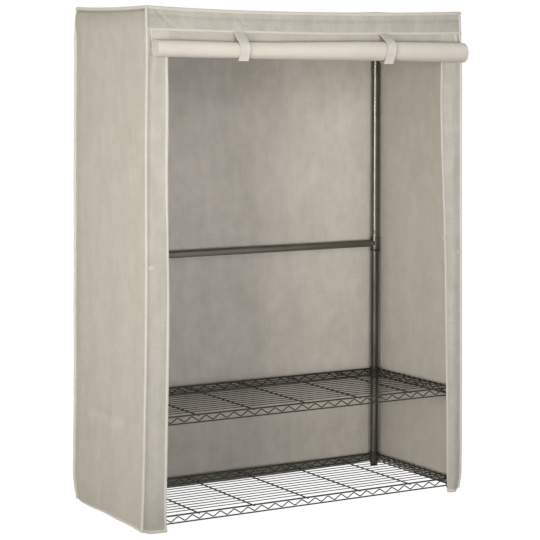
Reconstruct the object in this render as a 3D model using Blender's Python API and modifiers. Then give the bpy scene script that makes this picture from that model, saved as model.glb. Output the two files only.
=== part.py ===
"""Covered garment rail: a four-pole wire-shelf rack in a slip-over cloth cover whose door is rolled up.

Metres, +Z up, the open front faces -Y. The origin is on the floor under the middle of the whole box.
Every size that can be set by itself is a named value below; the rest is worked out from those.
"""

import math

import bmesh
import bpy

# Clearances
CLEARANCE = 0.0003  # between two pieces that touch
COVER_EASE = 0.0007  # between a shelf collar and the cloth
OVERRUN = 0.004  # how far a cutter runs past what it cuts
WELD = 0.00001  # points nearer than this are one point

# Poles
POLE_SPAN_LONG = 1.176  # between pole axes, left to right
POLE_SPAN_DEEP = 0.488  # between pole axes, front to rear
POLE_DIAMETER = 0.0286
POLE_WALL = 0.0012
POLE_SIDES = 16
NECK_DEPTH = 0.0006  # swaged ring round each upper pole
NECK_HEIGHT = 0.005
NECK_ABOVE_JOINT = 0.0395
POLE_STUD = 0.040  # how far the stud reaches each way from the joint
STUD_WALL = 0.0015

# Shelves
COLLAR_DIAMETER = 0.034
COLLAR_WALL = 0.0011
COLLAR_TAPER = 0.0003  # the collar is this much slimmer at its lower end
COLLAR_ABOVE = 0.006  # from the deck up
COLLAR_BELOW = 0.030  # from the deck down
SLEEVE_ABOVE = 0.008
SLEEVE_BELOW = 0.035
SLEEVE_SLIT = 0.0012
DECK_BOTTOM = 0.046  # height of each shelf's top rail
DECK_MIDDLE = 0.367
DECK_TOP_DROP = 0.033  # from the cover's top down to the top shelf's rail
TRUSS_HEIGHT = 0.0245  # between the two rails of a shelf's edge
TOP_RAIL_DIAMETER = 0.0052
LOW_RAIL_DIAMETER = 0.0044
ZIGZAG_DIAMETER = 0.0034
DECK_WIRE_DIAMETER = 0.0030
DECK_WIRE_LIFT = 0.0006  # deck wires lie this much above the top rail's middle
DECK_WIRES = 14
RIB_DIAMETER = 0.0048
RIB_SPACING = 0.2075
RIBS = 5
ZIGZAGS_PER_BAY = 4
RAIL_SINK = 0.0007  # how far a wire's end is sunk into the collar that it is welded to
WIRE_SINK = 0.0005  # how far a wire's end is short of the middle of the rail that it is welded to

# Brace across the back
BRACE_HEIGHT = 0.8345
BRACE_DIAMETER = 0.0254
BRACE_WALL = 0.0012
BRACE_JOINT_OFFSET = 0.075  # the two lengths meet this far right of the middle
BRACE_COUPLER_LENGTH = 0.300
TEE_HEIGHT = 0.0425
TEE_STUB = 0.030
TEE_RING_HEIGHT = 0.0087

# Hanging rail under the top shelf
RAIL_DIAMETER = 0.025
RAIL_WALL = 0.0012
RAIL_DROP = 0.0425  # from the top shelf's lower rail down to the hanging rail's middle
BRACKET_WIDTH = 0.018
BRACKET_THICKNESS = 0.0025
BRACKET_LIP = 0.005  # how far the hook's outer lip reaches below the wire's middle
SOCKET_WALL = 0.0020
SOCKET_DEPTH = 0.012

# Feet and caps
FOOT_DIAMETER = 0.028
FOOT_HEIGHT = 0.009
FOOT_CHAMFER = 0.002
STUD_DIAMETER = 0.008
STUD_LENGTH = 0.032
INSERT_FLANGE = 0.003
INSERT_DEPTH = 0.034
CAP_HEIGHT = 0.006
CAP_PLUG = 0.018
CAP_CROWN_SHARES = (0.6, 0.85)  # where the cap's dome turns over, as shares of its radius and height
CAP_SHOULDER_SHARE = 0.25  # how far up its height the cap's side is straight
SMALL_SIDES = 12

# Cover
COVER_HEIGHT = 1.674
CLOTH = 0.0013
PIPING_DIAMETER = 0.007
PIPING_PROUD = 0.001  # how far the piping stands out of the panel beside it
PIPING_INSET = 0.0004  # the upright piping stands this much inside the top one
TOP_CORNER_RADIUS = 0.004
HEM_HEIGHT = 0.0045
REAR_LEFT_LIFT = 0.005  # the hem rides up at the rear left corner
SIDE_BILLOW = 0.005
BACK_BILLOW = 0.004
FLATTEST_FOLD_SHARE = 0.45  # how far the cloth stands out between its long folds, as a share of the folds
LONG_FOLDS = 2  # across each wall panel
STRIP_WAVES = 3  # up the free edge of a front strip
SIDE_GRID = (8, 14)  # steps across and up each cloth panel
BACK_GRID = (12, 12)
TOP_GRID = (6, 3)
STRIP_GRID = (4, 12)
VALANCE_GRID = (10, 2)
APRON_GRID = (8, 2)
VALANCE_DROP = 0.077  # from the cover's top down to the valance seam
VALANCE_PIPING_DIAMETER = 0.006
VALANCE_PIPING_SETBACK = 0.0005
STRIP_WIDTHS_LEFT = (0.063, 0.079, 0.077)  # at the hem, half way up and under the valance
STRIP_WIDTHS_RIGHT = (0.046, 0.064, 0.086)
STRIP_CURL = 0.006  # how far the free edge of a strip curls inwards

# Door, rolled up under the valance
APRON_GAP = 0.0004  # between the front strips and the door
ROLL_TOP_DROP = 0.1045  # from the cover's top down to the top of the roll
ROLL_LEFT_END = -0.592
ROLL_RIGHT_END = 0.582
ROLL_RADIUS_LEFT = 0.0297
ROLL_RADIUS_RIGHT = 0.0365
ROLL_LAYER = 0.0020
ROLL_TURNS = 6
ROLL_STEPS = 16  # per turn
ROLL_CORE_SHARE = 0.20  # radius of the innermost layer, as a share of the roll's
STRAP_WIDTH = 0.036
STRAP_THICKNESS = 0.0014
STRAP_GAP = 0.0006
STRAP_PLACES = (-0.282, 0.278)
STRAP_STEPS = 7  # along each arc
STRAP_LEAVES_AT = 205.0  # degrees round the roll at which the front leg hangs free
STRAP_TAIL = 0.024
UNDER_STRAP_END = -126.0  # degrees round the roll at which the back leg ends
TAPER_STEPS = 2

# Worked out: cover
COLLAR_RADIUS = COLLAR_DIAMETER / 2
COVER_HALF_LONG = POLE_SPAN_LONG / 2 + COLLAR_RADIUS + COVER_EASE + CLOTH
COVER_HALF_DEEP = POLE_SPAN_DEEP / 2 + COLLAR_RADIUS + COVER_EASE + CLOTH
FRONT_REACH = COVER_HALF_DEEP + APRON_GAP + 2 * ROLL_RADIUS_RIGHT
REAR_REACH = COVER_HALF_DEEP + BACK_BILLOW
RACK_Y = (FRONT_REACH - REAR_REACH) / 2  # the rack's middle, so that the box is centred on the origin
FRONT_FACE = RACK_Y - COVER_HALF_DEEP  # outer face of the front strips
PIPING_RADIUS = PIPING_DIAMETER / 2
PIPING_LONG = COVER_HALF_LONG - PIPING_RADIUS + PIPING_PROUD
PIPING_DEEP = COVER_HALF_DEEP - PIPING_RADIUS + PIPING_PROUD
PANEL_LONG = PIPING_LONG - PIPING_INSET - PIPING_RADIUS - CLEARANCE
PANEL_DEEP = PIPING_DEEP - PIPING_INSET - PIPING_RADIUS - CLEARANCE
PANEL_TOP = COVER_HEIGHT - PIPING_DIAMETER - CLEARANCE
TOP_PANEL_UNDER = COVER_HEIGHT - PIPING_PROUD - CLOTH
VALANCE_SEAM = COVER_HEIGHT - VALANCE_DROP
VALANCE_PIPING_RADIUS = VALANCE_PIPING_DIAMETER / 2
BELOW_SEAM = VALANCE_SEAM - VALANCE_PIPING_RADIUS - CLEARANCE
ABOVE_SEAM = VALANCE_SEAM + VALANCE_PIPING_RADIUS + CLEARANCE

# Worked out: poles, feet and caps
POLE_RADIUS = POLE_DIAMETER / 2
POLE_BORE = POLE_RADIUS - POLE_WALL
PLUG_RADIUS = POLE_BORE * math.cos(math.pi / POLE_SIDES) - CLEARANCE
INSERT_BASE = FOOT_HEIGHT + CLEARANCE
POLE_BASE = INSERT_BASE + INSERT_FLANGE + CLEARANCE
CAP_TOP = TOP_PANEL_UNDER - CLEARANCE
POLE_TOP = CAP_TOP - CAP_HEIGHT - CLEARANCE
POLE_JOINT = BRACE_HEIGHT
STUD_RADIUS = STUD_DIAMETER / 2
STUD_BORE = (STUD_RADIUS + CLEARANCE) / math.cos(math.pi / SMALL_SIDES)
DECK_TOP = COVER_HEIGHT - DECK_TOP_DROP
RAIL_HEIGHT = DECK_TOP - TRUSS_HEIGHT - RAIL_DROP

CORNERS = {
    "front_left": (-1, -1),
    "front_right": (1, -1),
    "rear_left": (-1, 1),
    "rear_right": (1, 1),
}


def clear_scene():
    for obj in list(bpy.data.objects):
        bpy.data.objects.remove(obj, do_unlink=True)


def collection(name):
    made = bpy.data.collections.new(name)
    bpy.context.scene.collection.children.link(made)
    return made


def finish_material(name, colour, roughness, metallic=0.0):
    made = bpy.data.materials.new(name)
    made.use_nodes = True
    shader = made.node_tree.nodes["Principled BSDF"]
    shader.inputs["Base Color"].default_value = (*colour, 1.0)
    shader.inputs["Roughness"].default_value = roughness
    shader.inputs["Metallic"].default_value = metallic
    return made


clear_scene()
PARTS = collection("covered_garment_rail")
HELPERS = collection("cutters_and_joined_wires")
STEEL = finish_material("gunmetal_steel", (0.10, 0.10, 0.08), 0.38, 0.7)
BLACK_PLASTIC = finish_material("black_plastic", (0.02, 0.02, 0.02), 0.55)
COVER_CLOTH = finish_material("taupe_cloth", (0.50, 0.47, 0.40), 0.9)
REVERSE_CLOTH = finish_material("cream_reverse_cloth", (0.72, 0.68, 0.58), 0.9)
PIPING_CLOTH = finish_material("cream_piping", (0.70, 0.66, 0.58), 0.85)


def keep(obj, material, home=None):
    """Puts an object in its collection, under its own material."""
    (home or PARTS).objects.link(obj)
    obj.data.materials.clear()
    obj.data.materials.append(material)
    return obj


def as_helper(obj):
    obj.hide_render = True
    obj.display_type = "WIRE"
    return obj


def corner_place(name):
    side, depth = CORNERS[name]
    return side * POLE_SPAN_LONG / 2, RACK_Y + depth * POLE_SPAN_DEEP / 2


def screw(obj, sides):
    turn = obj.modifiers.new("turned", "SCREW")
    turn.angle = 2 * math.pi
    turn.steps = sides
    turn.render_steps = sides
    turn.use_merge_vertices = True
    turn.merge_threshold = WELD
    turn.use_normal_calculate = False
    return obj


def turned(name, outline, place, material, sides=POLE_SIDES, closed=True, home=None, along_x=False):
    """A turned solid: its outline (radius, height) runs down the outer side and, if closed, back up the bore."""
    mesh = bpy.data.meshes.new(name)
    points = [(radius, 0, height) for radius, height in outline]
    edges = [(i, i + 1) for i in range(len(points) - 1)]
    if closed:
        edges.append((len(points) - 1, 0))
    mesh.from_pydata(points, edges, [])
    obj = bpy.data.objects.new(name, mesh)
    keep(obj, material, home)
    obj.location = place
    if along_x:
        obj.rotation_euler = (0, math.pi / 2, 0)
    return screw(obj, sides)


def tube_outline(outer, inner, low, high):
    return [(outer, high), (outer, low), (inner, low), (inner, high)]


def evaluated_mesh(obj):
    bpy.context.view_layer.update()
    graph = bpy.context.evaluated_depsgraph_get()
    return bpy.data.meshes.new_from_object(obj.evaluated_get(graph))


def tube_curve(name, points, diameter, material, resolution=0, cyclic=False, home=None):
    """A round wire or piping along its points, made a mesh with its caps welded."""
    curve = bpy.data.curves.new(name, "CURVE")
    curve.dimensions = "3D"
    curve.bevel_depth = diameter / 2
    curve.bevel_resolution = resolution
    curve.use_fill_caps = not cyclic
    spline = curve.splines.new("POLY")
    spline.points.add(len(points) - 1)
    for point, place in zip(spline.points, points):
        point.co = (*place, 1.0)
    spline.use_cyclic_u = cyclic
    guide = bpy.data.objects.new(name + "_guide", curve)
    HELPERS.objects.link(guide)
    mesh = evaluated_mesh(guide)
    bpy.data.objects.remove(guide)
    shape = bmesh.new()
    shape.from_mesh(mesh)
    bmesh.ops.remove_doubles(shape, verts=shape.verts, dist=WELD)
    bmesh.ops.recalc_face_normals(shape, faces=shape.faces)
    shape.to_mesh(mesh)
    shape.free()
    obj = bpy.data.objects.new(name, mesh)
    return keep(obj, material, home)


def union_with(base, group_name, pieces):
    """Joins the pieces to the base with one Boolean."""
    group = collection(group_name)
    for piece in pieces:
        for home in list(piece.users_collection):
            home.objects.unlink(piece)
        group.objects.link(as_helper(piece))
    join = base.modifiers.new("welded", "BOOLEAN")
    join.operation = "UNION"
    join.operand_type = "COLLECTION"
    join.collection = group
    join.solver = "EXACT"
    return base


def cut_with(base, cutter):
    cut = base.modifiers.new("cut", "BOOLEAN")
    cut.operation = "DIFFERENCE"
    cut.object = as_helper(cutter)
    cut.solver = "EXACT"
    return base


def cloth_panel(name, columns, rows, place_at, outward, thickness, material):
    """A sheet: place_at(across, up) gives its inner face, with both shares from 0 to 1; it thickens outwards."""
    shape = bmesh.new()
    bmesh.ops.create_grid(shape, x_segments=columns, y_segments=rows, size=1.0)
    for point in shape.verts:
        point.co = place_at((point.co.x + 1) / 2, (point.co.y + 1) / 2)
    shape.normal_update()
    facing = sum(face.normal.dot(outward) * face.calc_area() for face in shape.faces)
    if facing < 0:
        bmesh.ops.reverse_faces(shape, faces=shape.faces)
    mesh = bpy.data.meshes.new(name)
    shape.to_mesh(mesh)
    shape.free()
    obj = keep(bpy.data.objects.new(name, mesh), material)
    thick = obj.modifiers.new("thickness", "SOLIDIFY")
    thick.thickness = thickness
    thick.offset = 1.0
    return obj


def lerp(start, end, share):
    return start + (end - start) * share


# Poles


def neck_outline(low, high):
    """An upper pole with its swaged ring."""
    neck = POLE_JOINT + NECK_ABOVE_JOINT
    ring = POLE_RADIUS - NECK_DEPTH
    outer = [
        (POLE_RADIUS, high),
        (POLE_RADIUS, neck + NECK_HEIGHT / 2),
        (ring, neck + NECK_HEIGHT / 4),
        (ring, neck - NECK_HEIGHT / 4),
        (POLE_RADIUS, neck - NECK_HEIGHT / 2),
        (POLE_RADIUS, low),
    ]
    return outer + [(POLE_BORE, low), (POLE_BORE, high)]


def studded_outline(low, high):
    """A lower pole with the stud pressed into its upper end, on which the upper pole slides."""
    stud = PLUG_RADIUS
    bore = PLUG_RADIUS - STUD_WALL
    return [
        (POLE_RADIUS, high),
        (POLE_RADIUS, low),
        (POLE_BORE, low),
        (POLE_BORE, high - POLE_STUD),
        (bore, high - POLE_STUD),
        (bore, high + POLE_STUD),
        (stud, high + POLE_STUD),
        (stud, high),
    ]


def make_poles():
    for corner in CORNERS:
        x, y = corner_place(corner)
        turned("lower_pole_" + corner, studded_outline(POLE_BASE, POLE_JOINT - CLEARANCE), (x, y, 0), STEEL)
        turned("upper_pole_" + corner, neck_outline(POLE_JOINT, POLE_TOP), (x, y, 0), STEEL)


def make_caps_and_feet():
    dome = [
        (0, CAP_HEIGHT),
        (POLE_RADIUS * CAP_CROWN_SHARES[0], CAP_HEIGHT * CAP_CROWN_SHARES[1]),
        (POLE_RADIUS, CAP_HEIGHT * CAP_SHOULDER_SHARE),
        (POLE_RADIUS, 0),
        (PLUG_RADIUS, 0),
        (PLUG_RADIUS, -CAP_PLUG),
        (0, -CAP_PLUG),
    ]
    insert = [
        (POLE_RADIUS, INSERT_FLANGE),
        (POLE_RADIUS, 0),
        (STUD_BORE, 0),
        (STUD_BORE, INSERT_DEPTH),
        (PLUG_RADIUS, INSERT_DEPTH),
        (PLUG_RADIUS, INSERT_FLANGE),
    ]
    pad = FOOT_DIAMETER / 2
    foot = [
        (0, FOOT_HEIGHT + STUD_LENGTH),
        (STUD_RADIUS, FOOT_HEIGHT + STUD_LENGTH),
        (STUD_RADIUS, FOOT_HEIGHT),
        (pad - FOOT_CHAMFER, FOOT_HEIGHT),
        (pad, FOOT_HEIGHT - FOOT_CHAMFER),
        (pad, 0),
        (0, 0),
    ]
    for corner in CORNERS:
        x, y = corner_place(corner)
        turned("pole_cap_" + corner, dome, (x, y, CAP_TOP - CAP_HEIGHT), BLACK_PLASTIC, SMALL_SIDES, False)
        # The insert's outline starts on the flange's rim, runs down and comes back up the plug.
        turned("foot_insert_" + corner, insert, (x, y, INSERT_BASE), BLACK_PLASTIC, SMALL_SIDES)
        turned("levelling_foot_" + corner, foot, (x, y, 0), BLACK_PLASTIC, SMALL_SIDES, False)


# Shelves


def collar_outline(deck):
    bore = COLLAR_RADIUS - COLLAR_WALL
    return [
        (COLLAR_RADIUS, deck + COLLAR_ABOVE),
        (COLLAR_RADIUS - COLLAR_TAPER, deck - COLLAR_BELOW),
        (bore, deck - COLLAR_BELOW),
        (bore, deck + COLLAR_ABOVE),
    ]


def zigzag(reach, period, high, low, peak_at_middle):
    """(along, height) of a zigzag from -reach to reach, with a peak or a valley at 0."""

    def height_at(along):
        phase = abs(along) / period % 1.0
        share = abs(1 - 2 * phase)
        return lerp(low, high, share if peak_at_middle else 1 - share)

    half = period / 2
    count = int(reach / half)
    turns = [step * half for step in range(-count, count + 1)]
    places = [-reach] + [turn for turn in turns if abs(turn) < reach - half / 10] + [reach]
    return [(along, height_at(along)) for along in places]


def shelf_wires(name, deck):
    """The wires of one shelf: rails, zigzags, ribs under the deck and the deck's long wires."""
    half_long = POLE_SPAN_LONG / 2
    half_deep = POLE_SPAN_DEEP / 2
    into_collar = COLLAR_RADIUS - RAIL_SINK
    reach_long = half_long - into_collar
    reach_deep = half_deep - into_collar
    low_rail = deck - TRUSS_HEIGHT
    wave_high = deck - TOP_RAIL_DIAMETER / 2 - ZIGZAG_DIAMETER / 2 - 2 * CLEARANCE - RAIL_SINK
    wave_low = low_rail + LOW_RAIL_DIAMETER / 2 + ZIGZAG_DIAMETER / 2 + 2 * CLEARANCE + RAIL_SINK
    period = RIB_SPACING / ZIGZAGS_PER_BAY
    wires = []

    def wire(label, points, diameter):
        wires.append(tube_curve(name + label, points, diameter, STEEL, home=HELPERS))

    for side in (-1, 1):
        y = RACK_Y + side * half_deep
        x = side * half_long
        label = "_front" if side < 0 else "_rear"
        end = "_left" if side < 0 else "_right"
        for height, diameter in ((deck, TOP_RAIL_DIAMETER), (low_rail, LOW_RAIL_DIAMETER)):
            level = "_top_rail" if height == deck else "_low_rail"
            wire(label + level, [(-reach_long, y, height), (reach_long, y, height)], diameter)
            wire(end + level, [(x, RACK_Y - reach_deep, height), (x, RACK_Y + reach_deep, height)], diameter)
        long_wave = zigzag(reach_long, period, wave_high, wave_low, False)
        deep_wave = zigzag(reach_deep, period, wave_high, wave_low, True)
        wire(label + "_zigzag", [(along, y, height) for along, height in long_wave], ZIGZAG_DIAMETER)
        wire(end + "_zigzag", [(x, RACK_Y + along, height) for along, height in deep_wave], ZIGZAG_DIAMETER)
    wire_height = deck + DECK_WIRE_LIFT
    rib_height = wire_height - (DECK_WIRE_DIAMETER + RIB_DIAMETER) / 2 - CLEARANCE
    for index in range(DECK_WIRES):
        y = RACK_Y - half_deep + POLE_SPAN_DEEP * (index + 1) / (DECK_WIRES + 1)
        ends = [(side * (half_long - WIRE_SINK), y, wire_height) for side in (-1, 1)]
        wire("_deck_wire_%02d" % index, ends, DECK_WIRE_DIAMETER)
    for index in range(RIBS):
        x = (index - (RIBS - 1) / 2) * RIB_SPACING
        ends = [(x, RACK_Y + side * (half_deep - WIRE_SINK), rib_height) for side in (-1, 1)]
        wire("_rib_%d" % index, ends, RIB_DIAMETER)
    return wires


def make_shelf(name, deck):
    collars = []
    for corner in CORNERS:
        x, y = corner_place(corner)
        collars.append(turned(name + "_collar_" + corner, collar_outline(deck), (x, y, 0), STEEL))
    shelf = collars.pop(0)
    shelf.name = name
    union_with(shelf, name + "_welded_wires", collars + shelf_wires(name, deck))


def make_split_sleeves(name, deck):
    """The plastic sleeves between the collars and the poles, each slit on the side that faces the shelf's middle."""
    inner = POLE_RADIUS + CLEARANCE
    outer = COLLAR_RADIUS - COLLAR_WALL - CLEARANCE
    outline = tube_outline(outer, inner, deck - SLEEVE_BELOW, deck + SLEEVE_ABOVE)
    height = SLEEVE_ABOVE + SLEEVE_BELOW + 2 * OVERRUN
    middle = deck + (SLEEVE_ABOVE - SLEEVE_BELOW) / 2
    slits = bmesh.new()
    for corner, (side, depth) in CORNERS.items():
        x, y = corner_place(corner)
        made = bmesh.ops.create_cube(slits, size=1.0)["verts"]
        bmesh.ops.scale(slits, vec=(COLLAR_RADIUS, SLEEVE_SLIT, height), verts=made)
        bmesh.ops.translate(slits, vec=(x - side * (COLLAR_RADIUS / 2 + OVERRUN), y, middle), verts=made)
    slit_mesh = bpy.data.meshes.new(name + "_slits")
    slits.to_mesh(slit_mesh)
    slits.free()
    cutter = keep(bpy.data.objects.new(name + "_slits", slit_mesh), BLACK_PLASTIC, HELPERS)
    for corner in CORNERS:
        sleeve = turned(name + "_" + corner, outline, (*corner_place(corner), 0), BLACK_PLASTIC)
        cut_with(sleeve, cutter)


# Brace across the back


def make_brace():
    y = RACK_Y + POLE_SPAN_DEEP / 2
    bore = BRACE_DIAMETER / 2 - BRACE_WALL
    stub_radius = bore - CLEARANCE
    sleeve_bore = POLE_RADIUS + CLEARANCE
    for end, side in (("left", -1), ("right", 1)):
        x = side * POLE_SPAN_LONG / 2
        outline = tube_outline(COLLAR_RADIUS, sleeve_bore, -TEE_HEIGHT / 2, TEE_HEIGHT / 2)
        tee = turned("brace_tee_" + end, outline, (x, y, BRACE_HEIGHT), STEEL)
        near = COLLAR_RADIUS - RAIL_SINK
        far = COLLAR_RADIUS + TEE_STUB
        stub_outline = [(0, far), (stub_radius, far), (stub_radius, near), (0, near)]
        stub = turned("stub_" + end, stub_outline, (x, y, BRACE_HEIGHT), STEEL, closed=False, home=HELPERS)
        stub.rotation_euler = (0, -side * math.pi / 2, 0)
        union_with(tee, "tee_stub_" + end, [stub])
        top = BRACE_HEIGHT - TEE_HEIGHT / 2 - CLEARANCE
        ring = tube_outline(COLLAR_RADIUS, sleeve_bore, top - TEE_RING_HEIGHT, top)
        turned("tee_ring_" + end, ring, (x, y, 0), BLACK_PLASTIC)
        start = POLE_SPAN_LONG / 2 - COLLAR_RADIUS - CLEARANCE
        low, high = sorted((side * start, BRACE_JOINT_OFFSET + side * CLEARANCE / 2))
        tube = tube_outline(BRACE_DIAMETER / 2, bore, low, high)
        turned("brace_tube_" + end, tube, (0, y, BRACE_HEIGHT), STEEL, along_x=True)
    half = BRACE_COUPLER_LENGTH / 2
    coupler = tube_outline(stub_radius, stub_radius - STUD_WALL, -half, half)
    turned("brace_coupler", coupler, (BRACE_JOINT_OFFSET, y, BRACE_HEIGHT), STEEL, along_x=True)


# Hanging rail


def bracket_plate(name, side, wire_height):
    """The plate that hooks over the top shelf's lower end rail, as a flat outline with its own thickness."""
    wire_x = POLE_SPAN_LONG / 2
    clear = LOW_RAIL_DIAMETER / 2 + CLEARANCE
    plate_out = wire_x - clear
    plate_in = plate_out - BRACKET_THICKNESS
    lip_in = wire_x + clear
    lip_out = lip_in + BRACKET_THICKNESS
    hook_under = wire_height + clear
    hook_top = hook_under + BRACKET_THICKNESS
    foot = RAIL_HEIGHT - RAIL_DIAMETER / 2 - SOCKET_WALL - BRACKET_THICKNESS
    lip_end = wire_height - BRACKET_LIP
    outline = [
        (plate_in, foot),
        (plate_in, hook_top),
        (lip_out, hook_top),
        (lip_out, lip_end),
        (lip_in, lip_end),
        (lip_in, hook_under),
        (plate_out, hook_under),
        (plate_out, foot),
    ]
    curve = bpy.data.curves.new(name, "CURVE")
    curve.dimensions = "2D"
    curve.fill_mode = "BOTH"
    curve.extrude = BRACKET_WIDTH / 2
    spline = curve.splines.new("POLY")
    spline.points.add(len(outline) - 1)
    for point, (x, z) in zip(spline.points, outline):
        point.co = (side * x, z, 0, 1.0)
    spline.use_cyclic_u = True
    guide = bpy.data.objects.new(name + "_outline", curve)
    HELPERS.objects.link(guide)
    mesh = evaluated_mesh(guide)
    bpy.data.objects.remove(guide)
    shape = bmesh.new()
    shape.from_mesh(mesh)
    bmesh.ops.remove_doubles(shape, verts=shape.verts, dist=WELD)
    bmesh.ops.recalc_face_normals(shape, faces=shape.faces)
    shape.to_mesh(mesh)
    shape.free()
    plate = keep(bpy.data.objects.new(name, mesh), STEEL)
    plate.rotation_euler = (math.pi / 2, 0, 0)
    plate.location = (0, RACK_Y, 0)
    return plate, plate_in


def make_hanging_rail():
    wire_height = DECK_TOP - TRUSS_HEIGHT
    socket_bore = (RAIL_DIAMETER / 2 + CLEARANCE) / math.cos(math.pi / POLE_SIDES)
    for end, side in (("left", -1), ("right", 1)):
        plate, plate_in = bracket_plate("rail_bracket_" + end, side, wire_height)
        inner = plate_in - SOCKET_DEPTH
        outer = plate_in + BRACKET_THICKNESS / 2
        low, high = sorted((side * inner, side * outer))
        outline = tube_outline(socket_bore + SOCKET_WALL, socket_bore, low, high)
        place = (0, RACK_Y, RAIL_HEIGHT)
        socket = turned("socket_" + end, outline, place, STEEL, home=HELPERS, along_x=True)
        union_with(plate, "socket_of_" + end, [socket])
    reach = plate_in - CLEARANCE
    rail = tube_outline(RAIL_DIAMETER / 2, RAIL_DIAMETER / 2 - RAIL_WALL, -reach, reach)
    turned("hanging_rail", rail, (0, RACK_Y, RAIL_HEIGHT), STEEL, along_x=True)


# Cover


def ease(share):
    """0 at both ends, 1 in the middle."""
    return math.sin(math.pi * share)


def billow(across, height):
    """How far out, as a share, a wall panel stands: nothing at its edges and where a shelf holds it in."""
    levels = (HEM_HEIGHT, DECK_MIDDLE, COVER_HEIGHT)
    low, high = (levels[0], levels[1]) if height < levels[1] else (levels[1], levels[2])
    between = min(max((height - low) / (high - low), 0), 1)
    long_fold = (1 + math.cos(2 * math.pi * (LONG_FOLDS * across + between))) / 2
    return ease(across) * ease(between) * lerp(FLATTEST_FOLD_SHARE, 1, long_fold)


def make_side_panel(end, side):
    inner = side * (COVER_HALF_LONG - CLOTH)
    rear_lift = REAR_LEFT_LIFT if side < 0 else 0

    def place_at(across, up):
        y = RACK_Y + lerp(-PANEL_DEEP, PANEL_DEEP, across)
        z = lerp(HEM_HEIGHT + rear_lift * across**2, PANEL_TOP, up)
        return (inner + side * SIDE_BILLOW * billow(across, z), y, z)

    cloth_panel("cover_side_" + end, *SIDE_GRID, place_at, (side, 0, 0), CLOTH, COVER_CLOTH)


def make_back_panel():
    inner = RACK_Y + COVER_HALF_DEEP - CLOTH

    def place_at(across, up):
        x = lerp(-PANEL_LONG, PANEL_LONG, across)
        z = lerp(HEM_HEIGHT + REAR_LEFT_LIFT * (1 - across) ** 4, PANEL_TOP, up)
        return (x, inner + BACK_BILLOW * billow(across, z), z)

    cloth_panel("cover_back", *BACK_GRID, place_at, (0, 1, 0), CLOTH, COVER_CLOTH)


def make_top_panel():
    def place_at(across, up):
        x = lerp(-PANEL_LONG, PANEL_LONG, across)
        y = RACK_Y + lerp(-PANEL_DEEP, PANEL_DEEP, up)
        return (x, y, TOP_PANEL_UNDER)

    cloth_panel("cover_top", *TOP_GRID, place_at, (0, 0, 1), CLOTH, COVER_CLOTH)


def three_point(values, share):
    """A smooth curve through its values at 0, a half and 1."""
    low, middle, high = values
    return low * (1 - share) * (1 - 2 * share) + 4 * middle * share * (1 - share) + high * share * (2 * share - 1)


def make_front_strip(end, side, widths):
    inner = FRONT_FACE + CLOTH

    def place_at(across, up):
        z = lerp(HEM_HEIGHT, BELOW_SEAM, up)
        free_edge = COVER_HALF_LONG - three_point(widths, up)
        x = side * lerp(PANEL_LONG, free_edge, across)
        curl = STRIP_CURL * across**4 * (1 - math.cos(2 * math.pi * STRIP_WAVES * up)) / 2
        return (x, inner + curl, z)

    cloth_panel("front_strip_" + end, *STRIP_GRID, place_at, (0, -1, 0), CLOTH, COVER_CLOTH)


def make_valance():
    def place_at(across, up):
        x = lerp(-PANEL_LONG, PANEL_LONG, across)
        return (x, FRONT_FACE + CLOTH, lerp(ABOVE_SEAM, PANEL_TOP, up))

    cloth_panel("valance", *VALANCE_GRID, place_at, (0, -1, 0), CLOTH, COVER_CLOTH)


def rounded_rectangle(half_long, half_deep, radius, height):
    points = []
    for turn in range(4):
        sign_x = 1 if turn in (0, 3) else -1
        sign_y = 1 if turn < 2 else -1
        for step in (0, 0.5, 1):
            angle = math.pi / 2 * (turn + step)
            x = sign_x * (half_long - radius) + radius * math.cos(angle)
            y = sign_y * (half_deep - radius) + radius * math.sin(angle)
            points.append((x, RACK_Y + y, height))
    return points


def make_piping():
    height = COVER_HEIGHT - PIPING_RADIUS
    loop = rounded_rectangle(PIPING_LONG, PIPING_DEEP, TOP_CORNER_RADIUS, height)
    frame = tube_curve("cover_piping", loop, PIPING_DIAMETER, PIPING_CLOTH, 1, cyclic=True)
    uprights = []
    for corner, (side, depth) in CORNERS.items():
        x = side * (PIPING_LONG - PIPING_INSET)
        y = RACK_Y + depth * (PIPING_DEEP - PIPING_INSET)
        low = HEM_HEIGHT + (REAR_LEFT_LIFT if corner == "rear_left" else 0)
        ends = [(x, y, low), (x, y, height)]
        name = "piping_" + corner
        uprights.append(tube_curve(name, ends, PIPING_DIAMETER, PIPING_CLOTH, 1, home=HELPERS))
    union_with(frame, "piping_uprights", uprights)
    y = FRONT_FACE + VALANCE_PIPING_SETBACK
    ends = [(-PANEL_LONG, y, VALANCE_SEAM), (PANEL_LONG, y, VALANCE_SEAM)]
    tube_curve("valance_piping", ends, VALANCE_PIPING_DIAMETER, PIPING_CLOTH, 1)


# Door


def roll_radius(x):
    return lerp(ROLL_RADIUS_LEFT, ROLL_RADIUS_RIGHT, (x - ROLL_LEFT_END) / (ROLL_RIGHT_END - ROLL_LEFT_END))


def roll_middle(x):
    """(y, z) of the roll's axis: its back stays on the apron's plane and its top stays level."""
    radius = roll_radius(x)
    return FRONT_FACE - APRON_GAP - radius, COVER_HEIGHT - ROLL_TOP_DROP - radius


def roll_point(along, x):
    """A point of the rolled cloth's inner face, from the outer edge at the back, 0, to the core, 1."""
    y, z = roll_middle(x)
    radius = roll_radius(x) * lerp(1, ROLL_CORE_SHARE, along) - ROLL_LAYER
    angle = 2 * math.pi * ROLL_TURNS * along
    return (x, y + radius * math.cos(angle), z - radius * math.sin(angle))


def least_layer_gap(x):
    """The least space between two layers, measured between the points of the spiral at x."""
    steps = ROLL_TURNS * ROLL_STEPS
    points = [roll_point(step / steps, x) for step in range(steps + 1)]
    apart = ROLL_STEPS // 2
    pairs = [math.dist(point, other) for index, point in enumerate(points) for other in points[index + apart :]]
    return min(pairs) - ROLL_LAYER


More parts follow.
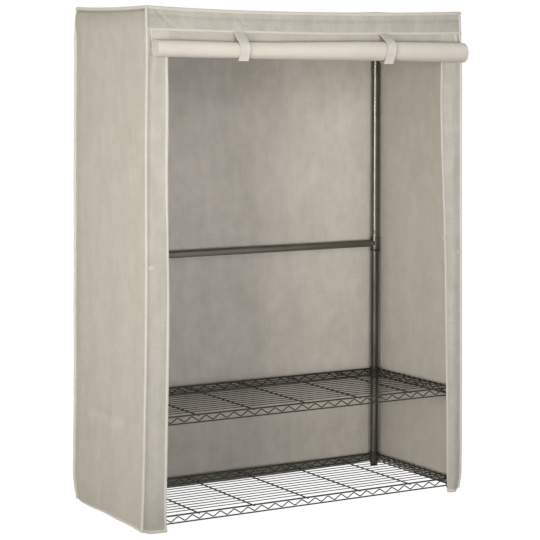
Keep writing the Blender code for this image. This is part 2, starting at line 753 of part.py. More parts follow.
def make_roll():
    shape = bmesh.new()
    steps = ROLL_TURNS * ROLL_STEPS
    bmesh.ops.create_grid(shape, x_segments=steps, y_segments=TAPER_STEPS, size=1.0)
    for point in shape.verts:
        point.co = roll_point((point.co.x + 1) / 2, lerp(ROLL_LEFT_END, ROLL_RIGHT_END, (point.co.y + 1) / 2))
    mesh = bpy.data.meshes.new("door_roll")
    shape.normal_update()
    first = min(shape.faces, key=lambda face: face.calc_center_median().y)
    if first.normal.y > 0:
        bmesh.ops.reverse_faces(shape, faces=shape.faces)
    shape.to_mesh(mesh)
    shape.free()
    roll = keep(bpy.data.objects.new("door_roll", mesh), REVERSE_CLOTH)
    thick = roll.modifiers.new("thickness", "SOLIDIFY")
    thick.thickness = ROLL_LAYER
    thick.offset = 1.0
    gap = min(least_layer_gap(ROLL_LEFT_END), least_layer_gap(ROLL_RIGHT_END))
    print("door roll: %d turns, least gap between layers %.2f mm" % (ROLL_TURNS, 1000 * gap))


def make_apron():
    back = FRONT_FACE - APRON_GAP

    def place_at(across, up):
        x = lerp(ROLL_LEFT_END, ROLL_RIGHT_END, across)
        low = roll_middle(x)[1] + CLEARANCE
        return (x, back, lerp(low, BELOW_SEAM, up))

    cloth_panel("door_apron", *APRON_GRID, place_at, (0, -1, 0), CLOTH, COVER_CLOTH)


def strap_sheet(name, x, path, outward_of):
    """A strap of the strap's width along its path of (y, z), thickened away from a point."""

    def place_at(across, along):
        share = along * (len(path) - 1)
        index = min(int(share + 0.5), len(path) - 1)
        y, z = path[index]
        return (x + lerp(-STRAP_WIDTH / 2, STRAP_WIDTH / 2, across), y, z)

    shape = bmesh.new()
    bmesh.ops.create_grid(shape, x_segments=1, y_segments=len(path) - 1, size=1.0)
    for point in shape.verts:
        point.co = place_at((point.co.x + 1) / 2, (point.co.y + 1) / 2)
    shape.normal_update()
    middle_y, middle_z = outward_of
    facing = 0
    for face in shape.faces:
        centre = face.calc_center_median()
        away = (0, centre.y - middle_y, centre.z - middle_z)
        facing += face.normal.dot(away) * face.calc_area()
    if facing < 0:
        bmesh.ops.reverse_faces(shape, faces=shape.faces)
    mesh = bpy.data.meshes.new(name)
    shape.to_mesh(mesh)
    shape.free()
    strap = keep(bpy.data.objects.new(name, mesh), REVERSE_CLOTH)
    thick = strap.modifiers.new("thickness", "SOLIDIFY")
    thick.thickness = STRAP_THICKNESS
    thick.offset = 1.0
    return strap


def arc(middle, radius, start, end):
    """Points round the roll; the angle in degrees is 0 at the rear, 90 on top and 180 in front."""
    points = []
    for step in range(STRAP_STEPS + 1):
        angle = math.radians(lerp(start, end, step / STRAP_STEPS))
        points.append((middle[0] + radius * math.cos(angle), middle[1] + radius * math.sin(angle)))
    return points


def make_straps():
    for end, x in zip(("left", "right"), STRAP_PLACES):
        wide = max(roll_radius(x - STRAP_WIDTH / 2), roll_radius(x + STRAP_WIDTH / 2))
        middle = roll_middle(x)
        radius = wide + STRAP_GAP
        start = (FRONT_FACE - APRON_GAP - CLOTH - CLEARANCE, BELOW_SEAM)
        away_y = start[0] - middle[0]
        away_z = start[1] - middle[1]
        distance = math.hypot(away_y, away_z)
        touch = math.degrees(math.atan2(away_z, away_y) + math.acos(radius / distance))
        front = [start] + arc(middle, radius, touch, STRAP_LEAVES_AT)
        lean = math.radians(STRAP_LEAVES_AT)
        last = front[-1]
        tail = (last[0] - STRAP_TAIL * math.sin(lean), last[1] + STRAP_TAIL * math.cos(lean))
        strap_sheet("tie_strap_" + end, x, front + [tail], middle)
        hidden = arc(middle, radius, 0, UNDER_STRAP_END)
        behind = [(hidden[0][0], BELOW_SEAM)] + hidden
        strap_sheet("under_strap_" + end, x, behind, middle)


def main():
    make_poles()
    make_caps_and_feet()
    for name, deck in (("bottom", DECK_BOTTOM), ("middle", DECK_MIDDLE), ("top", DECK_TOP)):
        make_shelf("shelf_" + name, deck)
        make_split_sleeves("sleeve_" + name, deck)
    make_brace()
    make_hanging_rail()
    make_side_panel("left", -1)
    make_side_panel("right", 1)
    make_back_panel()
    make_top_panel()
    make_front_strip("left", -1, STRIP_WIDTHS_LEFT)
    make_front_strip("right", 1, STRIP_WIDTHS_RIGHT)
    make_valance()
    make_piping()
    make_apron()
    make_roll()
    make_straps()


main()
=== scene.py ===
# %% [markdown]
# # Dressing a covered garment rail
#
# The CAD model holds the exact rack, its slip-over cover and the door that is
# rolled up under the valance. Here every piece gets the look of the real one:
# round gunmetal tubes, bent and welded shelf wires, thin cloth with soft
# upright folds, cream bindings, and a door wound up in many turns.
#
# The model is loaded first. Its boxes say where each new piece goes.

# %% Load the model
import math

import bmesh
import bpy
from mathutils import Matrix, Vector, noise


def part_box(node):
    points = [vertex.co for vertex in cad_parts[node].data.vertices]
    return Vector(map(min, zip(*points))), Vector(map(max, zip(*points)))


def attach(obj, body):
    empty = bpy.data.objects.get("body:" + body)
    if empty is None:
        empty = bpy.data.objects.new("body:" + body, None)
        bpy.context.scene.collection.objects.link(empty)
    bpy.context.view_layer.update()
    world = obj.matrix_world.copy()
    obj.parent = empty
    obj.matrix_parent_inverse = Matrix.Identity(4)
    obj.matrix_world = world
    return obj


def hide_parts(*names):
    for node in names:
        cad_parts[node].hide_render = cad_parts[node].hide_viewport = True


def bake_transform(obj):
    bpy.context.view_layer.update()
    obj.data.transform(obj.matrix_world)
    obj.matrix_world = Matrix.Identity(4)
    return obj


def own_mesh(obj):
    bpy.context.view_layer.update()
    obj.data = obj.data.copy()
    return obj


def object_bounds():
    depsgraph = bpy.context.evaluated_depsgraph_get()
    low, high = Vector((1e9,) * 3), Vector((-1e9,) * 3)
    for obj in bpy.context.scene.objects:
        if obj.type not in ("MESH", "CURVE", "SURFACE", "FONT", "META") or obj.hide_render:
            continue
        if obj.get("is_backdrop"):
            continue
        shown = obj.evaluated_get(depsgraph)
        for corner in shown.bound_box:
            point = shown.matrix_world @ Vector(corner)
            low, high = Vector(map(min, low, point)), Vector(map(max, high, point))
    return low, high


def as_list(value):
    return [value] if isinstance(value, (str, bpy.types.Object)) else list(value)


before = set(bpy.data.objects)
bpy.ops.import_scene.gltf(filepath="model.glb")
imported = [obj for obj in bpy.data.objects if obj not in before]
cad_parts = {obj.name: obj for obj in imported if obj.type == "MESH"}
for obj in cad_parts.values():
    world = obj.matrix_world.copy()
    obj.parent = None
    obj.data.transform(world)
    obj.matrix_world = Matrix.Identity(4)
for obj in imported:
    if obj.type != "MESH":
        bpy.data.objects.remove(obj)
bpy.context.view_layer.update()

# %% [markdown]
# ## The camera
#
# The photograph looks at the rail from the front left, from a little under
# the height of its top. A long lens keeps the uprights nearly parallel. The
# aim is almost level, and a small shift moves the picture down instead, as an
# architect's lens does.

# %% Place the camera
CAMERA_PLACE = (-3.2346, -5.4606, 1.4882)
CAMERA_TURN = math.radians(30.436)
CAMERA_PITCH = math.radians(4.931)

lens = bpy.data.cameras.new("front_left_view")
lens.sensor_width = 36.0
lens.lens = 124.624
lens.shift_y = -0.08
camera = bpy.data.objects.new("front_left_view", lens)
camera.location = CAMERA_PLACE
camera.rotation_euler = (math.pi / 2 - CAMERA_PITCH, 0, -CAMERA_TURN)
bpy.context.scene.collection.objects.link(camera)
bpy.context.scene.camera = camera
bpy.context.scene.view_settings.view_transform = "Standard"
print("camera %.2f m from the origin" % camera.location.length)

# %% [markdown]
# ## Floor and light
#
# The rail stands on a white floor in plain studio light. Two soft lamps at the
# left light the side and reach into the cover, where they give the tubes their
# bright line. A third fills the front, and the sky does the rest. The lamps
# look at the middle and the upper half, so that the light fades a little
# towards the floor. The floor and the sky look white only where the camera or
# a reflection sees them. The light that falls on things meets a grey floor,
# which takes the shadow, and a dimmer sky.

# %% Nodes in few words
def add_node(tree, kind, sources=None, **settings):
    """Adds a node, sets its properties, and links or sets its inputs."""
    made = tree.nodes.new(kind)
    made.location = (180 * (len(tree.nodes) % 12), -220 * (len(tree.nodes) // 12))
    for name, value in settings.items():
        setattr(made, name, value)
    for socket, source in (sources or {}).items():
        if isinstance(source, bpy.types.NodeSocket):
            tree.links.new(source, made.inputs[socket])
        else:
            made.inputs[socket].default_value = source
    return made


def maths(tree, operation, first, second=0.0, third=0.0):
    return add_node(tree, "ShaderNodeMath", {0: first, 1: second, 2: third}, operation=operation).outputs[0]


def seen_directly(tree):
    """1 where the camera, a reflection or clear glass looks, 0 for the light that falls on things."""
    path = add_node(tree, "ShaderNodeLightPath")
    both = maths(tree, "MAXIMUM", path.outputs["Is Camera Ray"], path.outputs["Is Glossy Ray"])
    return maths(tree, "MAXIMUM", both, path.outputs["Is Transmission Ray"])


# %% The sky
SKY_LIGHT = 0.42

sky = bpy.data.worlds.new("white_studio")
sky.use_nodes = True
sky.node_tree.nodes.clear()
# 1 where it is seen, and the sky's light elsewhere.
share = maths(sky.node_tree, "MULTIPLY_ADD", seen_directly(sky.node_tree), 1.0 - SKY_LIGHT, SKY_LIGHT)
glow = add_node(sky.node_tree, "ShaderNodeBackground", {"Color": (1, 1, 1, 1), "Strength": share})
add_node(sky.node_tree, "ShaderNodeOutputWorld", {"Surface": glow.outputs[0]})
bpy.context.scene.world = sky
print("sky lights with", SKY_LIGHT)

# %% The floor
FLOOR_SIZE = 60.0
FLOOR_COLOUR = (0.22, 0.22, 0.22, 1)
FLOOR_LIFT = 0.93

bpy.ops.object.select_all(action="DESELECT")
bpy.ops.mesh.primitive_plane_add(size=FLOOR_SIZE, location=(0, 0, 0))
floor = bpy.context.active_object
floor.name = "studio_floor"
floor_paint = bpy.data.materials.new("studio_floor")
floor_paint.use_nodes = True
tree = floor_paint.node_tree
tree.nodes.clear()
matt = add_node(tree, "ShaderNodeBsdfDiffuse", {"Color": FLOOR_COLOUR, "Roughness": 1.0})
lift = maths(tree, "MULTIPLY", seen_directly(tree), FLOOR_LIFT)
glow = add_node(tree, "ShaderNodeEmission", {"Color": (1, 1, 1, 1), "Strength": lift})
both = add_node(tree, "ShaderNodeAddShader", {0: matt.outputs[0], 1: glow.outputs[0]})
add_node(tree, "ShaderNodeOutputMaterial", {"Surface": both.outputs[0]})
floor.data.materials.append(floor_paint)
floor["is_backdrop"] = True
print("floor %.0f m across" % FLOOR_SIZE)


# %% The lamps
def soft_lamp(name, place, aim, width, height, power, colour, spread):
    data = bpy.data.lights.new(name, "AREA")
    data.shape = "RECTANGLE"
    data.size, data.size_y, data.energy = width, height, power
    data.color = colour
    data.spread = math.radians(spread)
    lamp = bpy.data.objects.new(name, data)
    lamp.location = place
    lamp.rotation_euler = (Vector(aim) - Vector(place)).to_track_quat("-Z", "Y").to_euler()
    bpy.context.scene.collection.objects.link(lamp)
    return lamp


WARM, PLAIN = (1.0, 0.975, 0.925), (0.985, 0.985, 1.0)
soft_lamp("key", (-4.1, -2.8, 1.2), (0, 0, 1.2), 0.9, 1.5, 16.8, WARM, 75)
soft_lamp("side_lamp", (-4.9, -1.4, 0.8), (0, 0, 0.9), 1.2, 1.2, 6.4, WARM, 60)
fill = soft_lamp("front_fill", (-0.8, -5.4, 0.7), (0, 0, 1.3), 1.2, 1.2, 9.4, PLAIN, 50)
# The fill draws no bright line on the tubes.
fill.visible_glossy = False
print("3 soft lamps")

# %% [markdown]
# ## Cloth finishes
#
# The cover is a thin spun cloth: a fine regular grid of threads, faint
# streaks where some threads are thicker, and a soft mottle. All its cloths
# share these effects, so they are one shader node group that puts out a tone
# and a height. Each material gives it its own values and mixes two tints by
# the tone. The pattern reads each piece's own map, which is in metres along
# the cloth, so that a thread is as wide on every panel.


# %% A node group
def new_group(name, inputs, outputs):
    group = bpy.data.node_groups.new(name, "ShaderNodeTree")
    for label, kind, value in inputs:
        socket = group.interface.new_socket(name=label, in_out="INPUT", socket_type="NodeSocket" + kind)
        if value is not None:
            socket.default_value = value
    for label in outputs:
        group.interface.new_socket(name=label, in_out="OUTPUT", socket_type="NodeSocketFloat")
    return group, add_node(group, "NodeGroupInput").outputs


def close_group(group, results):
    add_node(group, "NodeGroupOutput", results)
    print("group", group.name, "gives", ", ".join(results))
    return group


def stretched_noise(tree, place, scale, detail=2.0):
    """Noise whose grain is drawn out: scale is in cells per metre along each axis."""
    scaled = add_node(tree, "ShaderNodeVectorMath", {0: place, 1: scale}, operation="MULTIPLY")
    sources = {"Vector": scaled.outputs[0], "Scale": 1.0, "Detail": detail}
    return add_node(tree, "ShaderNodeTexNoise", sources).outputs["Fac"]


# %% The weave
# Cells per metre along the cloth's width, its height and its thickness.
UPRIGHT_STREAKS, LEVEL_STREAKS = (150, 5, 1), (6, 210, 1)
MOTTLE_CELLS, BROAD_CELLS, SPECK_CELLS, CRUMPLE_CELLS = (26, 17, 1), (11, 5, 1), (230, 190, 1), (22, 9, 1)
# How much the threads change the tone, and how much threads and streaks stand up.
THREAD_TONE, THREAD_RELIEF, STREAK_RELIEF = 0.06, 0.10, 0.00006


def weave_group():
    inputs = [
        ("Place", "Vector", None),
        ("Thread", "Float", 0.0008),
        ("Streaks", "Float", 0.5),
        ("Mottle", "Float", 0.5),
        ("Crumple", "Float", 0.0004),
    ]
    group, given = new_group("spun_weave", inputs, ["Tone", "Height"])
    axes = add_node(group, "ShaderNodeSeparateXYZ", {0: given["Place"]}).outputs
    waves = []
    for axis in ("X", "Y"):
        turn = maths(group, "DIVIDE", maths(group, "MULTIPLY", axes[axis], 2 * math.pi), given["Thread"])
        waves.append(maths(group, "SINE", turn))
    weave = maths(group, "MULTIPLY", waves[0], waves[1])
    upright = stretched_noise(group, given["Place"], UPRIGHT_STREAKS)
    level = stretched_noise(group, given["Place"], LEVEL_STREAKS)
    streaks = maths(group, "SUBTRACT", maths(group, "ADD", upright, level), 1.0)
    tone = maths(group, "MULTIPLY_ADD", streaks, given["Streaks"], 0.5)
    for cells, detail, gain in ((MOTTLE_CELLS, 4.0, 1.0), (BROAD_CELLS, 3.0, 1.0), (SPECK_CELLS, 1.0, 0.9)):
        patches = maths(group, "SUBTRACT", stretched_noise(group, given["Place"], cells, detail), 0.5)
        tone = maths(group, "MULTIPLY_ADD", patches, maths(group, "MULTIPLY", given["Mottle"], gain), tone)
    tone = maths(group, "MULTIPLY_ADD", weave, THREAD_TONE, tone)
    soft = stretched_noise(group, given["Place"], CRUMPLE_CELLS, 3.0)
    height = maths(group, "MULTIPLY", weave, maths(group, "MULTIPLY", given["Thread"], THREAD_RELIEF))
    height = maths(group, "MULTIPLY_ADD", soft, given["Crumple"], height)
    height = maths(group, "MULTIPLY_ADD", streaks, STREAK_RELIEF, height)
    clamped = add_node(group, "ShaderNodeClamp", {"Value": tone}).outputs[0]
    return close_group(group, {"Tone": clamped, "Height": height})


SPUN_WEAVE = weave_group()


# %% Cloth materials
def mixed_tints(tree, factor, dark, light):
    mix = add_node(tree, "ShaderNodeMix", {"Factor": factor}, data_type="RGBA", clamp_factor=False)
    # The mix node has an A, a B and a result for each kind of value, and the colours come last.
    colours = [socket for socket in mix.inputs if socket.type == "RGBA"]
    colours[0].default_value, colours[1].default_value = (*dark, 1), (*light, 1)
    return [socket for socket in mix.outputs if socket.type == "RGBA"][0]


# The two directions of a cloth's map.
ACROSS, UP = 0, 1
# The doorway's middle lies this far left of the rail's.
DOORWAY_LEFT = 0.0075


def map_place(tree, flat_map):
    """Where on the cloth a point is, in metres."""
    if flat_map:
        return add_node(tree, "ShaderNodeUVMap", uv_map="cloth").outputs[0]
    # The drop cloth stretches out when the door comes down, so it reads its place in the room.
    seat = add_node(tree, "ShaderNodeTexCoord").outputs["Object"]
    split = add_node(tree, "ShaderNodeSeparateXYZ", {0: seat}).outputs
    return add_node(tree, "ShaderNodeCombineXYZ", {0: split[0], 1: split[2], 2: split[1]}).outputs[0]


def changed_tone(tree, tone, place, change, shift):
    """A change is a direction, where along it a step starts and ends, and what the tone gains past it."""
    axis, start, end, gain = change
    along = add_node(tree, "ShaderNodeSeparateXYZ", {0: place}).outputs[axis]
    from_middle = maths(tree, "ABSOLUTE", maths(tree, "ADD", along, shift))
    limits = {"Value": from_middle, "From Min": start, "From Max": end}
    past = add_node(tree, "ShaderNodeMapRange", limits).outputs[0]
    return maths(tree, "MULTIPLY_ADD", past, gain, tone)


def cloth_material(
    name, dark, light, streaks=0.25, mottle=0.75, crumple=0.0012, roughness=0.92,
    thread=0.0009, flat_map=True, changes=(),
):
    made = bpy.data.materials.new(name)
    made.use_nodes = True
    tree = made.node_tree
    shader = tree.nodes["Principled BSDF"]
    for socket, value in (("Sheen Weight", 0.12), ("Sheen Roughness", 0.6), ("Specular IOR Level", 0.25)):
        shader.inputs[socket].default_value = value
    place = map_place(tree, flat_map)
    sources = {"Place": place, "Thread": thread, "Streaks": streaks, "Mottle": mottle, "Crumple": crumple}
    weave = add_node(tree, "ShaderNodeGroup", sources, node_tree=SPUN_WEAVE).outputs
    tone = weave["Tone"]
    for change in changes:
        tone = changed_tone(tree, tone, place, change, 0.0 if flat_map else DOORWAY_LEFT)
    tree.links.new(mixed_tints(tree, tone, dark, light), shader.inputs["Base Color"])
    tree.links.new(maths(tree, "MULTIPLY_ADD", weave["Tone"], -0.12, roughness), shader.inputs["Roughness"])
    bump = add_node(tree, "ShaderNodeBump", {"Height": weave["Height"], "Distance": 1.0, "Strength": 0.8})
    tree.links.new(bump.outputs[0], shader.inputs["Normal"])
    return made


# %% The outside of the cover
TAUPE_TINTS = (0.51, 0.482, 0.402), (0.67, 0.620, 0.548)
STRIP_TINTS = (0.53, 0.500, 0.428), (0.69, 0.645, 0.585)
TAUPE = cloth_material("cover_taupe", *TAUPE_TINTS)
# The side walls get painted shade for a hand's width under the top band, and a darker painted shadow line
# right beside it.
TAUPE_SIDE = cloth_material(
    "side_taupe", *TAUPE_TINTS, changes=[(UP, 1.600, 1.648, -0.55), (UP, 1.6515, 1.6555, -0.65)]
)
# The left strip gets painted shade that darkens it towards its hem.
LEFT_HEM_SHADE = (UP, 0.120, 0.025, -0.50)
STRIP_CLOTH = {
    "left": cloth_material("left_strip_taupe", *STRIP_TINTS, 0.35, 1.0, changes=[LEFT_HEM_SHADE]),
    "right": cloth_material("right_strip_taupe", *STRIP_TINTS, 0.45, 1.3),
}
# The valance's taupe is painted darker, as painted shade for the weaker light high up.
# A fold line from the packing runs along it above its middle, painted as a band of shade with painted light
# above it.
TAUPE_VALANCE = cloth_material(
    "valance_taupe", (0.475, 0.455, 0.392), (0.625, 0.585, 0.532), 0.5, 1.3, 0.0014,
    changes=[(UP, 0.029, 0.036, -0.32), (UP, 0.039, 0.047, 0.46)],
)
# The drop cloth's taupe is painted darker too, as painted shade for the weaker light high up.
# Over the front strips the thin drop cloth has another pale layer behind it and looks lighter.
TAUPE_DROP = cloth_material(
    "drop_taupe", (0.49, 0.470, 0.400), (0.645, 0.605, 0.545), crumple=0.0008, flat_map=False,
    changes=[(ACROSS, 0.520, 0.524, 0.45)],
)
print(len(bpy.data.materials), "materials so far")

# %% The inside, the door, the bindings and the straps
# Painted shade: the reverse inside the cover is painted darker than the door's, the same cloth, as little
# light gets in.
CREAM_TINTS = (0.54, 0.502, 0.437), (0.685, 0.640, 0.570)
CREAM = cloth_material("cream_reverse", *CREAM_TINTS, 0.30, 0.85, 0.0018, 0.93)
# Painted light and shade: inside, the back wall is painted lightest a little above the brace,
# with painted shade under the roll at the top and towards the floor.
BACK_PAINTED_LIGHT_AND_SHADE = [
    (UP, 1.38, 1.47, -0.35),
    (UP, 1.40, 1.30, 0.50),
    (UP, 1.05, 0.92, -0.25),
    (UP, 0.80, 0.66, -0.15),
    (UP, 0.35, 0.15, -0.25),
]
BACK_CREAM = cloth_material("back_cream", *CREAM_TINTS, 0.40, 1.15, 0.0034, 0.93, changes=BACK_PAINTED_LIGHT_AND_SHADE)
ROLL_CREAM = cloth_material("door_cream", (0.76, 0.70, 0.60), (0.88, 0.825, 0.74), 0.2, 0.6, 0.0010, 0.93)
BINDING_WEAVE = {"streaks": 0.3, "mottle": 0.6, "crumple": 0.0004, "roughness": 0.85, "thread": 0.0007}
BINDING = cloth_material("cream_binding", (0.67, 0.63, 0.56), (0.81, 0.77, 0.70), **BINDING_WEAVE)
WORN_BINDING = cloth_material("worn_binding", (0.57, 0.535, 0.475), (0.69, 0.655, 0.595), **BINDING_WEAVE)
# The upper part of each strap, between the seam and the roll, is painted darker than the rest, as painted
# shade.
STRAP = cloth_material(
    "strap_cloth", (0.63, 0.588, 0.515), (0.745, 0.700, 0.645), 0.3, 0.4, 0.0004, 0.88, 0.0008,
    changes=[(UP, 0.034, 0.046, 0.9)],
)
print(len(bpy.data.materials), "materials so far")

# %% [markdown]
# ## Metal and plastic finishes
#
# The tubes are coated a glossy gunmetal that has picked up faint smudges, and
# the shelf wires are a duller black-bronze. Both come from one group of
# smudges and flecks on object coordinates, which suits hard pieces because
# they don't stretch. The plastic reads the same group with its own values.


# %% Smudges and flecks
def handled_group():
    inputs = [("Place", "Vector", None), ("Smudge size", "Float", 0.05), ("Fleck size", "Float", 0.002)]
    group, given = new_group("handled_surface", inputs, ["Smudge", "Fleck", "Height"])
    results = []
    for size, detail in (("Smudge size", 3.0), ("Fleck size", 1.0)):
        scale = maths(group, "DIVIDE", 1.0, given[size])
        sources = {"Vector": given["Place"], "Scale": scale, "Detail": detail}
        results.append(add_node(group, "ShaderNodeTexNoise", sources).outputs["Fac"])
    # Only the brightest spots of the fine noise count as flecks.
    limits = {"Value": results[1], "From Min": 0.62, "From Max": 0.80}
    fleck = add_node(group, "ShaderNodeMapRange", limits).outputs[0]
    height = maths(group, "MULTIPLY", results[1], 0.00004)
    return close_group(group, {"Smudge": results[0], "Fleck": fleck, "Height": height})


HANDLED = handled_group()


# %% Hard materials
def hard_material(
    name, dark, light, metallic=1.0, roughness=0.22, coat=0.1, smudge_size=0.06, fleck_size=0.0012
):
    made = bpy.data.materials.new(name)
    made.use_nodes = True
    tree = made.node_tree
    shader = tree.nodes["Principled BSDF"]
    for socket, value in (("Metallic", metallic), ("Coat Weight", coat), ("Coat Roughness", 0.12)):
        shader.inputs[socket].default_value = value
    place = add_node(tree, "ShaderNodeTexCoord").outputs["Object"]
    sources = {"Place": place, "Smudge size": smudge_size, "Fleck size": fleck_size}
    marks = add_node(tree, "ShaderNodeGroup", sources, node_tree=HANDLED).outputs
    tone = maths(tree, "MULTIPLY_ADD", marks["Fleck"], 0.35, marks["Smudge"])
    tree.links.new(mixed_tints(tree, tone, dark, light), shader.inputs["Base Color"])
    # Smudges make the surface duller, half of it above and half below the given roughness.
    rough = maths(tree, "MULTIPLY_ADD", marks["Smudge"], 0.18, roughness - 0.09)
    tree.links.new(rough, shader.inputs["Roughness"])
    bump = add_node(tree, "ShaderNodeBump", {"Height": marks["Height"], "Distance": 1.0, "Strength": 0.5})
    tree.links.new(bump.outputs[0], shader.inputs["Normal"])
    return made


TUBE = hard_material("gunmetal_tube", (0.080, 0.080, 0.066), (0.150, 0.150, 0.130))
# The upper poles' gunmetal is painted a little paler, as painted light for the lamps' reflection they catch,
# and is duller, so they draw a broader bright line.
UPPER_TUBE = hard_material("gunmetal_upper_tube", (0.118, 0.118, 0.098), (0.205, 0.205, 0.178), 1.0, 0.30)
# The brace's gunmetal is painted paler, as painted light for the reflection from above it shows, and is
# rougher to spread it.
BRACE = hard_material("brace_tube", (0.125, 0.120, 0.098), (0.215, 0.208, 0.180), 0.85, 0.44)
WIRE_TINTS = (0.030, 0.029, 0.021), (0.085, 0.084, 0.066)
WIRE = hard_material("shelf_wire", *WIRE_TINTS, 0.80, 0.50, 0.0, 0.03, 0.0010)
PLASTIC_TINTS = (0.008, 0.008, 0.008), (0.022, 0.022, 0.021)
PLASTIC = hard_material("black_plastic", *PLASTIC_TINTS, 0.0, 0.48, 0.0, 0.02, 0.0008)
print(len(bpy.data.materials), "materials")

# %% [markdown]
# ## CAD nodes that stay
#
# The caps, the inserts, the hooks of the hanging rail and the brace's inner
# coupler are hidden or tiny, and their CAD shape is right. They only get the
# new materials.

# %% Give the CAD nodes their materials
KEPT = {
    "pole_cap": PLASTIC,
    "foot_insert": PLASTIC,
    "levelling_foot": PLASTIC,
    "tee_ring": PLASTIC,
    "sleeve": PLASTIC,
    "shelf": WIRE,
    "rail_bracket": TUBE,
    "brace": TUBE,
    "hanging_rail": TUBE,
    "lower_pole": TUBE,
    "upper_pole": UPPER_TUBE,
}
for name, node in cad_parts.items():
    for start, material in KEPT.items():
        if name.startswith(start):
            node.data.materials.clear()
            node.data.materials.append(material)
print(len(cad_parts), "CAD nodes looked at")

# %% [markdown]
# ## Turned pieces
#
# Poles, tees, collars, sleeves and feet are all round. Each is made as on a
# lathe: its outline is drawn by extruding one point, and a spin carries it
# round the axis. A cylinder that is cut and scaled would do too, but an
# outline shows every ring and chamfer in one list.


# %% Modelling helpers
def deselect_all():
    if bpy.context.mode != "OBJECT":
        bpy.ops.object.mode_set(mode="OBJECT")
    bpy.ops.object.select_all(action="DESELECT")


def one_point(name, place):
    """A mesh that holds a single selected point, in edit mode: a small plane merged at its middle."""
    deselect_all()
    bpy.ops.mesh.primitive_plane_add(size=0.001, location=(0, 0, 0))
    made = bpy.context.active_object
    made.name = made.data.name = name
    bpy.ops.object.mode_set(mode="EDIT")
    bpy.ops.mesh.merge(type="CENTER")
    bpy.ops.transform.translate(value=place)
    return made


def draw_on(points):
    """Extrudes the selected point through the points, each given from the one before."""
    for before, after in zip(points, points[1:]):
        step = [b - a for a, b in zip(before, after)]
        bpy.ops.mesh.extrude_region_move(TRANSFORM_OT_translate={"value": step})


def finish_mesh(made, material, angle=35.0):
    """Welds, turns the faces outwards, leaves edit mode and shades by angle."""
    if bpy.context.mode != "EDIT_MESH":
        bpy.ops.object.mode_set(mode="EDIT")
    bpy.ops.mesh.select_all(action="SELECT")
    bpy.ops.mesh.remove_doubles(threshold=0.00001)
    bpy.ops.mesh.normals_make_consistent(inside=False)
    bpy.ops.object.mode_set(mode="OBJECT")
    bpy.ops.object.shade_smooth_by_angle(angle=math.radians(angle))
    made.data.materials.clear()
    made.data.materials.append(material)
    return made


def turned(name, outline, place, material, sides=32, axis="Z", closed=True):
    """Spins an outline of (radius, height) round an axis through place. A closed outline has a bore."""
    px, py, pz = place
    along_x = axis == "X"
    points = [(px + h, py, pz + r) if along_x else (px + r, py, pz + h) for r, h in outline]
    made = one_point(name, points[0])
    draw_on(points)
    if closed:
        bpy.ops.mesh.select_all(action="DESELECT")
        bpy.ops.object.mode_set(mode="OBJECT")
        for index in (0, len(points) - 1):
            made.data.vertices[index].select = True
        bpy.ops.object.mode_set(mode="EDIT")
        bpy.ops.mesh.edge_face_add()
    bpy.ops.mesh.select_all(action="SELECT")
    spin_axis = (1, 0, 0) if along_x else (0, 0, 1)
    bpy.ops.mesh.spin(steps=sides, angle=2 * math.pi, center=place, axis=spin_axis)
    return finish_mesh(made, material)


def copy_of(original, name, move):
    """A copy with its own mesh, moved in its mesh so that its object stays at the origin."""
    made = original.copy()
    made.data = original.data.copy()
    made.name = made.data.name = name
    made.data.transform(Matrix.Translation(move))
    bpy.context.scene.collection.objects.link(made)
    return made


def dress(piece, body, slot, *nodes):
    """Sets what the piece rides on and hides the CAD nodes that it stands for. The slot is not used."""
    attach(piece, body)
    if nodes:
        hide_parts(*nodes)
    return piece


# %% Where the poles are
CORNERS = {"front_left": (-1, -1), "front_right": (1, -1), "rear_left": (-1, 1), "rear_right": (1, 1)}
SIDES = {"left": -1, "right": 1}


def middle_of(node):
    low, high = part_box(node)
    return (low + high) / 2


POLE_AT = {corner: middle_of("upper_pole_" + corner).xy for corner in CORNERS}
RACK_Y = (POLE_AT["front_left"].y + POLE_AT["rear_left"].y) / 2
POLE_HALF = POLE_AT["front_right"].x
DEPTH_HALF = POLE_AT["rear_left"].y - RACK_Y
FRONT_Y, REAR_Y = RACK_Y - DEPTH_HALF, RACK_Y + DEPTH_HALF
POLE_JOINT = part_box("upper_pole_front_left")[0].z
print("poles at x +- %.1f mm, y %.1f and %.1f mm" % (1000 * POLE_HALF, 1000 * FRONT_Y, 1000 * REAR_Y))

# %% [markdown]
# ## The poles
#
# Each upright is two tubes that meet at half height. The lower one carries a
# pressed-in stud, and the upper one slides over it and has a rolled neck ring
# above the joint. Their ends are rolled over, so the edge is round.

# %% Spin the poles
POLE_RADIUS = 0.0143
POLE_BORE = 0.0131
POLE_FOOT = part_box("lower_pole_front_left")[0].z
POLE_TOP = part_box("upper_pole_front_left")[1].z
NECK = POLE_JOINT + 0.0395
NECK_DEPTH, NECK_HALF, NECK_SLOPE = 0.0007, 0.0016, 0.0012
STUD_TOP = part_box("lower_pole_front_left")[1].z
STUD_RADIUS, STUD_WALL, STUD_REACH = 0.0125, 0.0015, 0.04
JOINT_GAP = 0.0003
EDGE = 0.0005
# A ring this far from each end keeps the shading of the long wall straight.
HOLD = 0.0060


def tube_end(end, into):
    """The rolled outer edge at a pole's end. into is 1 where the tube goes on upwards from it, else -1."""
    return [(POLE_RADIUS - EDGE, end), (POLE_RADIUS, end + into * EDGE), (POLE_RADIUS, end + into * HOLD)]


